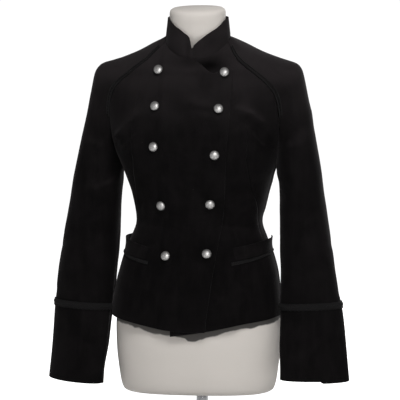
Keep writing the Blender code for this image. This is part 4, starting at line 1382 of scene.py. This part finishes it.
def make_paper(colour):
    """The pale floor, with a painted glow that grows with distance in place of the light on a sweep of paper.
    """
    g = new_material("floor")
    place = g.position()
    grain = g.noise(place, 40, 2, 0.5)
    away = g.node("ShaderNodeVectorMath", {"operation": "LENGTH"}, {0: place})[-1]
    shown = FAINT + (1 - FAINT) * g.node("ShaderNodeLightPath")[0]
    glow = (0.25 + 0.6 * away.ramp(0.35, 1.5)) * shown
    g.surface(
        Base_Color=g.mix(grain, colour, darker(colour, 0.985)),
        Roughness=0.9,
        Specular_IOR_Level=0.1,
        Emission_Color=g.mix(glow, BLACK, WHITE),
        Emission_Strength=1.2,
    )


# What a user would change

COLOUR = {"min": 0, "max": 1, "size": 3, "subtype": "COLOR"}
LENGTH = {"subtype": "DISTANCE", "unit": "LENGTH"}
POWER = {"min": 0, "subtype": "POWER", "unit": "POWER"}
ANGLE = {"subtype": "ANGLE", "unit": "ROTATION"}


class BlazerSettings(bpy.types.PropertyGroup):
    """Finishes of the cloth and braid, and the buttons' size"""

    # The light velvet colour also carries the painted highlights, and the dark one the painted shade
    velvet_dark: bpy.props.FloatVectorProperty(
        name="Velvet, dark", description="The pile where it lies towards the viewer",
        default=(0.0024, 0.0021, 0.0022), **COLOUR,
    )
    velvet_light: bpy.props.FloatVectorProperty(
        name="Velvet, light", description="The pile where it is brushed or worn",
        default=(0.0205, 0.0176, 0.0184), **COLOUR,
    )
    sheen: bpy.props.FloatProperty(
        name="Sheen", description="How far the pile lights up at a slant",
        default=0.065, min=0, max=1, subtype="FACTOR",
    )
    braid_dark: bpy.props.FloatVectorProperty(
        name="Braid, dark", description="Thread in the hollows of the braid",
        default=(0.0027, 0.0025, 0.0026), **COLOUR,
    )
    braid_light: bpy.props.FloatVectorProperty(
        name="Braid, light", description="Thread on top of the braid",
        default=(0.0088, 0.0079, 0.0082), **COLOUR,
    )
    metal: bpy.props.FloatVectorProperty(
        name="Buttons", description="The metal on top of the domes",
        default=(0.54, 0.53, 0.52), **COLOUR,
    )
    button_radius: bpy.props.FloatProperty(
        name="Button radius", description="Radius of a domed button",
        default=9.3 * MM, min=0.005, max=0.012, **LENGTH,
    )


class FormSettings(bpy.types.PropertyGroup):
    """The dress form's cover and base"""

    jersey: bpy.props.FloatVectorProperty(
        name="Jersey", description="The cover of the dress form",
        default=(0.635, 0.595, 0.555), **COLOUR,
    )
    base_radius: bpy.props.FloatProperty(
        name="Base radius", description="Radius of the stand's round plate",
        default=160 * MM, min=0.1, max=0.17, **LENGTH,
    )


class StageSettings(bpy.types.PropertyGroup):
    """The floor, the lights and where the camera stands"""

    floor: bpy.props.FloatVectorProperty(
        name="Floor", description="The plain pale floor",
        default=(0.92, 0.92, 0.92), **COLOUR,
    )
    key: bpy.props.FloatProperty(
        name="Key light", description="Power of the large light in front",
        default=72.0, **POWER,
    )
    front: bpy.props.FloatProperty(
        name="Front light", description="Power of the light beside the camera",
        default=13.0, **POWER,
    )
    shine: bpy.props.FloatProperty(
        name="Shine", description="Power of the light that only the buttons and the stand mirror",
        default=68.0, **POWER,
    )
    fill: bpy.props.FloatProperty(
        name="Fill light", description="Power of the light on the far side",
        default=5.0, **POWER,
    )
    back: bpy.props.FloatProperty(
        name="Back light", description="Power of the large light behind",
        default=45.0, **POWER,
    )
    azimuth: bpy.props.FloatProperty(
        name="Camera turn", description="How far the camera stands to the wearer's left of the front",
        default=math.radians(12), **ANGLE,
    )
    elevation: bpy.props.FloatProperty(
        name="Camera rise", description="How far the camera looks down",
        default=math.radians(3.5), **ANGLE,
    )


# Pieces


class BLAZER_OT_materials(bpy.types.Operator):
    """Makes the materials of the cloth, braid, buttons, form and stand"""

    bl_idname = "blazer.materials"
    bl_label = "Materials"

    def execute(self, context):
        blazer = context.scene.blazer
        for make in (make_velvet, make_braid, make_pewter):
            make(blazer)
        make_jersey(context.scene.dress_form)
        make_chrome()
        return {"FINISHED"}


def dart_distance(points, turn, height, dart, span):
    """Signed distance to a dart's seam in millimetres, larger past the two ends of its span."""
    foot, top = span
    radius = np.hypot(points[..., 0], points[..., 1] - points[..., 1].mean())
    past = np.maximum(np.maximum(foot - height, height - top), 0)
    away = np.radians(turn - dart(height)) * radius
    return np.where(past > 0, np.sign(away + 1e-6) * np.hypot(away, past), away)


class BLAZER_OT_fronts(bpy.types.Operator):
    """Builds the two overlapping fronts with their creases and bust seams"""

    bl_idname = "blazer.fronts"
    bl_label = "Fronts"

    def execute(self, context):
        for side, word in SIDES:
            points, turn, height = front_panel(side)
            seam = dart_distance(points, turn, height, FRONT_DART, FRONT_DART_SPAN)
            # Patches of painted light and shade on the front
            nap = painted_light_at(FRONT_PAINTED_LIGHT[side], side * points[..., 0], points[..., 2])
            cloth_piece(f"front_{word}", f"front_{word}", side, points, seam=seam, nap=nap)
        return {"FINISHED"}


class BLAZER_OT_backs(bpy.types.Operator):
    """Builds the two halves of the back, seamed down the centre"""

    bl_idname = "blazer.backs"
    bl_label = "Backs"

    def execute(self, context):
        for side, word in SIDES:
            points, turn, height = back_panel(side)
            seam = dart_distance(points, turn, height, BACK_DART, BACK_DART_SPAN)
            cloth_piece(f"back_{word}", f"back_{word}", side, points, seam=seam)
        return {"FINISHED"}


class BLAZER_OT_sleeves(bpy.types.Operator):
    """Builds the raglan sleeves, each with a seam under the arm"""

    bl_idname = "blazer.sleeves"
    bl_label = "Sleeves"

    def execute(self, context):
        for side, word in SIDES:
            points, closed_from = sleeve_panel(side)
            seam = from_ends(points, 1)
            seam[:closed_from] = FAR
            # Painted highlight on the sleeve's outer side, fading to painted shade beside the body
            nap = np.broadcast_to(SLEEVE_PAINTED_HIGHLIGHT * (1 - SLEEVE_PAINTED_SHADE * inward(sleeve_places())), seam.shape)
            details = {"axis": SLEEVE_AXIS, "closed_from": closed_from, "seam": seam, "nap": nap}
            cloth_piece(f"sleeve_{word}", f"sleeve_{word}", side, points, **details)
        return {"FINISHED"}


class BLAZER_OT_cuffs(bpy.types.Operator):
    """Builds the deep flared cuffs"""

    bl_idname = "blazer.cuffs"
    bl_label = "Cuffs"

    def execute(self, context):
        for side, word in SIDES:
            points = cuff_panel(side)
            details = {"axis": CUFF_AXIS, "closed_from": 0, "seam": from_ends(points, 1)}
            cloth_piece(f"cuff_{word}", f"cuff_{word}", side, points, **details)
        return {"FINISHED"}


class BLAZER_OT_collar(bpy.types.Operator):
    """Builds the stand collar"""

    bl_idname = "blazer.collar"
    bl_label = "Collar"

    def execute(self, context):
        points = collar_panel()
        turns = np.degrees(np.arctan2(points[..., 0], NECK_MIDDLE - points[..., 1])) % 360
        # A painted highlight over the collar, with patches of painted light and shade
        nap = COLLAR_PAINTED_HIGHLIGHT + painted_light_at(COLLAR_PAINTED_LIGHT, turns, points[..., 2])
        details = {"axis": (0, NECK_MIDDLE), "wall": COLLAR_WALL, "nap": nap, "foot_too": False}
        cloth_piece("collar", "collar", 1, points, **details)
        return {"FINISHED"}


class BLAZER_OT_pockets(bpy.types.Operator):
    """Builds the gaping pocket welts and the narrow plait under them"""

    bl_idname = "blazer.pockets"
    bl_label = "Pockets"

    def execute(self, context):
        for side, word in SIDES:
            cloth_piece(f"welt_{word}", f"pocket_welt_{word}", side, welt_panel(side))
            turns = np.linspace(*POCKET_TURNS, POCKET_PLAIT_POINTS)
            length = run_along(over_cloth(side, turns, POCKET_FOOT(turns), 0.0), 0)

            def at(drop, out):
                width = POCKET_NARROW_SHARE + (1 - POCKET_NARROW_SHARE) * smooth(*POCKET_PLAIT_NARROWS, turns)
                height = POCKET_FOOT(turns) - SEAM_GAP - drop * width
                return over_cloth(side, turns, height, LAYER_GAP + out) * (side, 1, 1)

            upper, lower = [at(drop, 0) for drop in POCKET_TAPE_DROPS]
            normal = unit(at(3, 1) - at(3, 0))
            parts = [tape(upper, lower, normal, BRAID_TAPE)]
            for strand in range(POCKET_STRANDS):
                step = 2 * math.pi * (length / POCKET_PITCH + strand / POCKET_STRANDS)
                line = at(POCKET_STRAND_DROP + POCKET_SWING * np.sin(step), bob(*POCKET_BOB, step))
                parts.append(tube(line, POCKET_STRAND_RADIUS))
            for drop in POCKET_EDGE_CORDS:
                parts.append(tube(at(drop, POCKET_EDGE_OUT), POCKET_EDGE_RADIUS))
            made = combined(f"pocket_plait_{word}", parts, "braid")
            piece(made, f"pocket_braid_{word}")
        return {"FINISHED"}


def raglan_line(distance, rise):
    """Points over the sleeve cap at a distance from its front seam, and a rise off the cloth."""
    place = np.linspace(*RAGLAN_BRAID_SPAN, RAGLAN_BRAID_POINTS)
    rows = cap_rows(place, np.linspace(-1, 1, RAGLAN_ROUND_POINTS))
    runs = run_along(rows, 1)
    points = np.array([
        [np.interp(distance, run, column) for column in row.T] for run, row in zip(runs, rows)
    ])
    normal = unit(np.cross(np.gradient(points, axis=0), rows[:, RAGLAN_SLOPE_POINTS] - rows[:, 0]))
    return points + normal * rise


class BLAZER_OT_raglan_braid(bpy.types.Operator):
    """Lays a narrow openwork braid beside each front raglan seam"""

    bl_idname = "blazer.raglan_braid"
    bl_label = "Raglan braid"

    def execute(self, context):
        for side, word in SIDES:
            mirror = np.array([side, 1, 1])
            parts = []
            for distance, rise, radius in RAGLAN_CORDS:
                parts.append(tube(raglan_line(distance, rise) * mirror, radius))
            middle = raglan_line(EYELET_DISTANCE, EYELET_RISE)
            across = unit(raglan_line(EYELET_DISTANCE + 1, EYELET_RISE) - middle) * EYELET_HALF_WIDTH
            along = unit(np.gradient(middle, axis=0)) * EYELET_HALF_LENGTH
            angle = np.linspace(0, 2 * math.pi, EYELET_POINTS, endpoint=False)[:, None]
            length = run_along(middle, 0)
            for number in range(int(length[-1] / EYELET_PITCH)):
                i = int(np.searchsorted(length, (number + 0.5) * EYELET_PITCH))
                ring = middle[i] + across[i] * np.cos(angle) + along[i] * np.sin(angle)
                parts.append(tube(ring * mirror, EYELET_CORD, EYELET_SIDES, closed=True))
            made = combined(f"eyelet_braid_{word}", parts, "braid")
            piece(made, f"raglan_braid_{word}")
        return {"FINISHED"}


class BLAZER_OT_cuff_braid(bpy.types.Operator):
    """Plaits the scalloped braid round the top of each cuff"""

    bl_idname = "blazer.cuff_braid"
    bl_label = "Cuff braid"

    def execute(self, context):
        for side, word in SIDES:
            around = np.linspace(-1, 1, CUFF_BRAID_POINTS + 1)[:-1]
            turns = CUFF_BRAID_REPEATS * (around + 1) / 2

            def at(rise, out):
                waver = CUFF_BRAID_WAVER * np.sin(math.pi * around + side)
                height = cuff_top(side, around) - CUFF_BRAID_DROP + rise + waver
                return ring_point(side, height, around, LAYER_GAP + SEAM_GAP + out) * (side, 1, 1)

            parts = []
            for strand in range(CUFF_STRANDS):
                step = 2 * math.pi * (turns + strand / CUFF_STRANDS)
                line = at(CUFF_STRAND_RISE + CUFF_SWING * np.sin(step), bob(*CUFF_BOB, step))
                parts.append(tube(line, CUFF_STRAND_RADIUS, closed=True))
            for rise, radius in CUFF_EDGE_CORDS:
                parts.append(tube(at(rise, CUFF_EDGE_OUT), radius, closed=True))
            scallop = CUFF_SCALLOP_FOOT - CUFF_SCALLOP * np.abs(np.sin(math.pi * turns * 2))
            parts.append(tube(at(scallop, CUFF_SCALLOP_OUT), CUFF_SCALLOP_RADIUS, closed=True))
            upper, lower = at(CUFF_BRAID_HALF_WIDTH, 0), at(-CUFF_BRAID_HALF_WIDTH, 0)
            lines = (upper, lower, unit(at(0, 1) - at(0, 0)))
            parts.append(tape(*[np.concatenate([line, line[:1]]) for line in lines], BRAID_TAPE))
            made = combined(f"scallop_braid_{word}", parts, "braid")
            piece(made, f"cuff_braid_{word}")
        return {"FINISHED"}


class BLAZER_OT_buttons(bpy.types.Operator):
    """Sews on the ten domed buttons, each square to the cloth under it"""

    bl_idname = "blazer.buttons"
    bl_label = "Buttons"

    def execute(self, context):
        radius = context.scene.blazer.button_radius / MM
        shank = [(0, 0), (SHANK_RADIUS, 0), (SHANK_RADIUS, 1.2)]
        rim = [(radius - 0.7, 1.5), (radius, 2.2), (radius - 0.1, 3.0)]
        profile = rounded(shank + rim, 0.5).tolist()
        for angle in np.radians(range(14, 90, 8)):
            profile.append(((radius - 0.15) * math.cos(angle), BUTTON_FOOT + BUTTON_RISE * math.sin(angle)))
        profile.append((0, BUTTON_FOOT + BUTTON_RISE))
        under = bpy.data.objects["cloth_front_right"]
        cloth_tree = BVHTree.FromObject(under, context.evaluated_depsgraph_get())
        for number, row in enumerate(BUTTONS, 1):
            for word, x, height in (("right", *row[:2]), ("left", *row[2:])):
                turn = float(turn_at(x, height))
                normal = body_normal(turn, height)
                seat = seat_on(cloth_tree, body_point(turn, height, BUTTON_START), normal)
                made = turned(f"dome_{word}_{number}", profile, "pewter", BUTTON_STEPS)
                heights = np.array([vertex.co.z for vertex in made.data.vertices]) / MM
                # How near the rim each point lies, for the painted shade there
                set_attribute(made.data, "rim", np.clip((RIM_SHADE_HEIGHT - heights) / RIM_SHADE_DEPTH, 0, 1))
                made.location = seat * MM
                made.rotation_euler = Vector(normal).to_track_quat("Z", "Y").to_euler()
                piece(made, f"button_{word}_{number}")
        return {"FINISHED"}


def seat_on(tree, start, normal):
    """Where the shank stops just short of the cloth, coming in along the normal."""
    side = unit(np.cross(normal, (0, 0, 1)))
    up = np.cross(side, normal)
    ways = []
    for angle in np.linspace(0, 2 * math.pi, SHANK_PLACES):
        foot = start + SHANK_RADIUS * (side * math.cos(angle) + up * math.sin(angle))
        hit = tree.ray_cast(Vector(foot * MM), Vector(-normal))
        if hit[0] is None:
            raise RuntimeError("a button lies past the edge of the cloth")
        ways.append(hit[3] / MM)
    return start - normal * (min(ways) - BUTTON_GAP)


class BLAZER_OT_form(bpy.types.Operator):
    """Builds the limbless dress form that carries the blazer"""

    bl_idname = "blazer.form"
    bl_label = "Dress form"

    def execute(self, context):
        heights = np.concatenate([np.linspace(*rows) for rows in TORSO_ROWS])[:, None]
        turns = np.linspace(0, 360, TORSO_COLUMNS, endpoint=False)
        points = section_point(TORSO, turns, heights)
        tilt = NECK_TILT * smooth(*NECK_TILT_HEIGHTS, heights)
        points[..., 2] += tilt * (points[..., 1] - TORSO(heights)[..., 3])
        index = np.arange(points.shape[0] * points.shape[1]).reshape(points.shape[:2])
        faces = grid_faces(np.concatenate([index, index[:, :1]], 1))
        faces += [index[0][::-1].tolist(), index[-1].tolist()]
        made = add_mesh("cover_torso", points, faces, "jersey")
        # The cover's painted shade and the painted shadow under the hem go by the distance below the hem
        turn = np.abs((turns + 180) % 360 - 180)
        hem = np.where(turns < 180, LEFT_HEM(turn), RIGHT_HEM(turn))
        hem = np.where(turn > BACK_HEM.at[0], BACK_HEM(turn), hem)
        hem = hem - HEM_SHADE * np.exp(-(((points[..., 0] - HEM_SHADE_PLACE) / HEM_SHADE_SPREAD) ** 2))
        below = np.where(points[..., 2] > SHOWN_ABOVE, FAR, hem - points[..., 2])
        set_attribute(made.data, "below_hem", below.ravel())
        piece(made, "form_torso")
        return {"FINISHED"}


class BLAZER_OT_stand(bpy.types.Operator):
    """Turns the pole, its socket and the round base"""

    bl_idname = "blazer.stand"
    bl_label = "Stand"

    def execute(self, context):
        radius = context.scene.dress_form.base_radius / MM
        edge = [(radius - 1, 0), (radius, 6), (radius - 1.2, 9.5), (radius - 5, PLATE_HEIGHT)]
        plate = [(0, 0), *edge, (0, PLATE_HEIGHT)]
        for name, profile, reach in (("pole", POLE, 0.6), ("socket", SOCKET, 1.0), ("base", plate, 1.5)):
            made = turned(f"stand_{name}", rounded(profile, reach), "chrome", STAND_STEPS)
            piece(made, f"form_{name}")
        return {"FINISHED"}


class BLAZER_OT_cloth_facts(bpy.types.Operator):
    """Does nothing, and finishes at once"""

    bl_idname = "blazer.cloth_facts"
    bl_label = "Cloth facts"

    def execute(self, context):
        return {"FINISHED"}


# Studio


class BLAZER_OT_stage(bpy.types.Operator):
    """Lays the pale floor, hangs the soft lights and sets the camera at the photo's angle"""

    bl_idname = "blazer.stage"
    bl_label = "Stage"

    def execute(self, context):
        scene = context.scene
        stage = scene.blazer_stage
        scene.view_settings.view_transform = "Standard"
        make_paper(tuple(stage.floor))
        signs = ((-1, -1), (1, -1), (1, 1), (-1, 1))
        corners = [(x * FLOOR_HALF, y * FLOOR_HALF, -FLOOR_DROP) for x, y in signs]
        add_mesh("floor", corners, [(0, 1, 2, 3)], "floor")
        for name, (size, place) in LIGHTS.items():
            lamp = bpy.data.lights.new(name, "AREA")
            lamp.energy = getattr(stage, name)
            lamp.size = size
            holder = bpy.data.objects.new(name, lamp)
            holder.location = place
            holder.rotation_euler = (Vector(LIGHT_TARGET) - Vector(place)).to_track_quat("-Z", "Y").to_euler()
            holder.visible_glossy = name != "key"
            holder.visible_diffuse = name != "shine"
            scene.collection.objects.link(holder)
        world = bpy.data.worlds.new("studio")
        scene.world = world
        g = Graph(world)
        strength = FAINT + g.node("ShaderNodeLightPath")[0] * 0.93
        light = g.node("ShaderNodeBackground", {}, {"Color": (*WHITE, 1), "Strength": strength})[0]
        g.node("ShaderNodeOutputWorld", {}, {"Surface": light})
        scene.camera = self.camera(stage)
        return {"FINISHED"}

    def camera(self, stage):
        turn, rise = stage.azimuth, stage.elevation
        away = Vector((math.sin(turn) * math.cos(rise), -math.cos(turn) * math.cos(rise), math.sin(rise)))
        lens = bpy.data.cameras.new("camera")
        lens.angle = 2 * math.atan(PICTURE_HEIGHT / 2 / CAMERA_DISTANCE)
        lens.clip_end = 50
        holder = bpy.data.objects.new("camera", lens)
        holder.location = Vector(PICTURE_CENTRE) * MM + away * CAMERA_DISTANCE * MM
        holder.rotation_euler = (-away).to_track_quat("-Z", "Y").to_euler()
        bpy.context.scene.collection.objects.link(holder)
        return holder


class BLAZER_PT_panel(bpy.types.Panel):
    """Settings and pieces of the blazer, its form and its studio"""

    bl_idname = "BLAZER_PT_panel"
    bl_label = "Blazer"
    bl_space_type = "VIEW_3D"
    bl_region_type = "UI"
    bl_category = "Blazer"

    def draw(self, context):
        layout = self.layout
        for settings in (context.scene.blazer, context.scene.dress_form, context.scene.blazer_stage):
            box = layout.box()
            for name in settings.__annotations__:
                box.prop(settings, name)
        for operator in OPERATORS:
            layout.operator(operator.bl_idname)


SETTINGS = {"blazer": BlazerSettings, "dress_form": FormSettings, "blazer_stage": StageSettings}
OPERATORS = (
    BLAZER_OT_materials,
    BLAZER_OT_fronts,
    BLAZER_OT_backs,
    BLAZER_OT_sleeves,
    BLAZER_OT_cuffs,
    BLAZER_OT_collar,
    BLAZER_OT_pockets,
    BLAZER_OT_raglan_braid,
    BLAZER_OT_cuff_braid,
    BLAZER_OT_buttons,
    BLAZER_OT_form,
    BLAZER_OT_stand,
    BLAZER_OT_cloth_facts,
    BLAZER_OT_stage,
)


def register():
    for group in (*SETTINGS.values(), *OPERATORS, BLAZER_PT_panel):
        bpy.utils.register_class(group)
    for name, group in SETTINGS.items():
        setattr(bpy.types.Scene, name, bpy.props.PointerProperty(type=group))


def unregister():
    for name in SETTINGS:
        delattr(bpy.types.Scene, name)
    for group in reversed((*SETTINGS.values(), *OPERATORS, BLAZER_PT_panel)):
        bpy.utils.unregister_class(group)


def main():
    register()
    for operator in OPERATORS:
        group, name = operator.bl_idname.split(".")
        if getattr(getattr(bpy.ops, group), name)() != {"FINISHED"}:
            raise RuntimeError(f"{operator.bl_idname} did not finish")


if __name__ == "__main__":
    main()
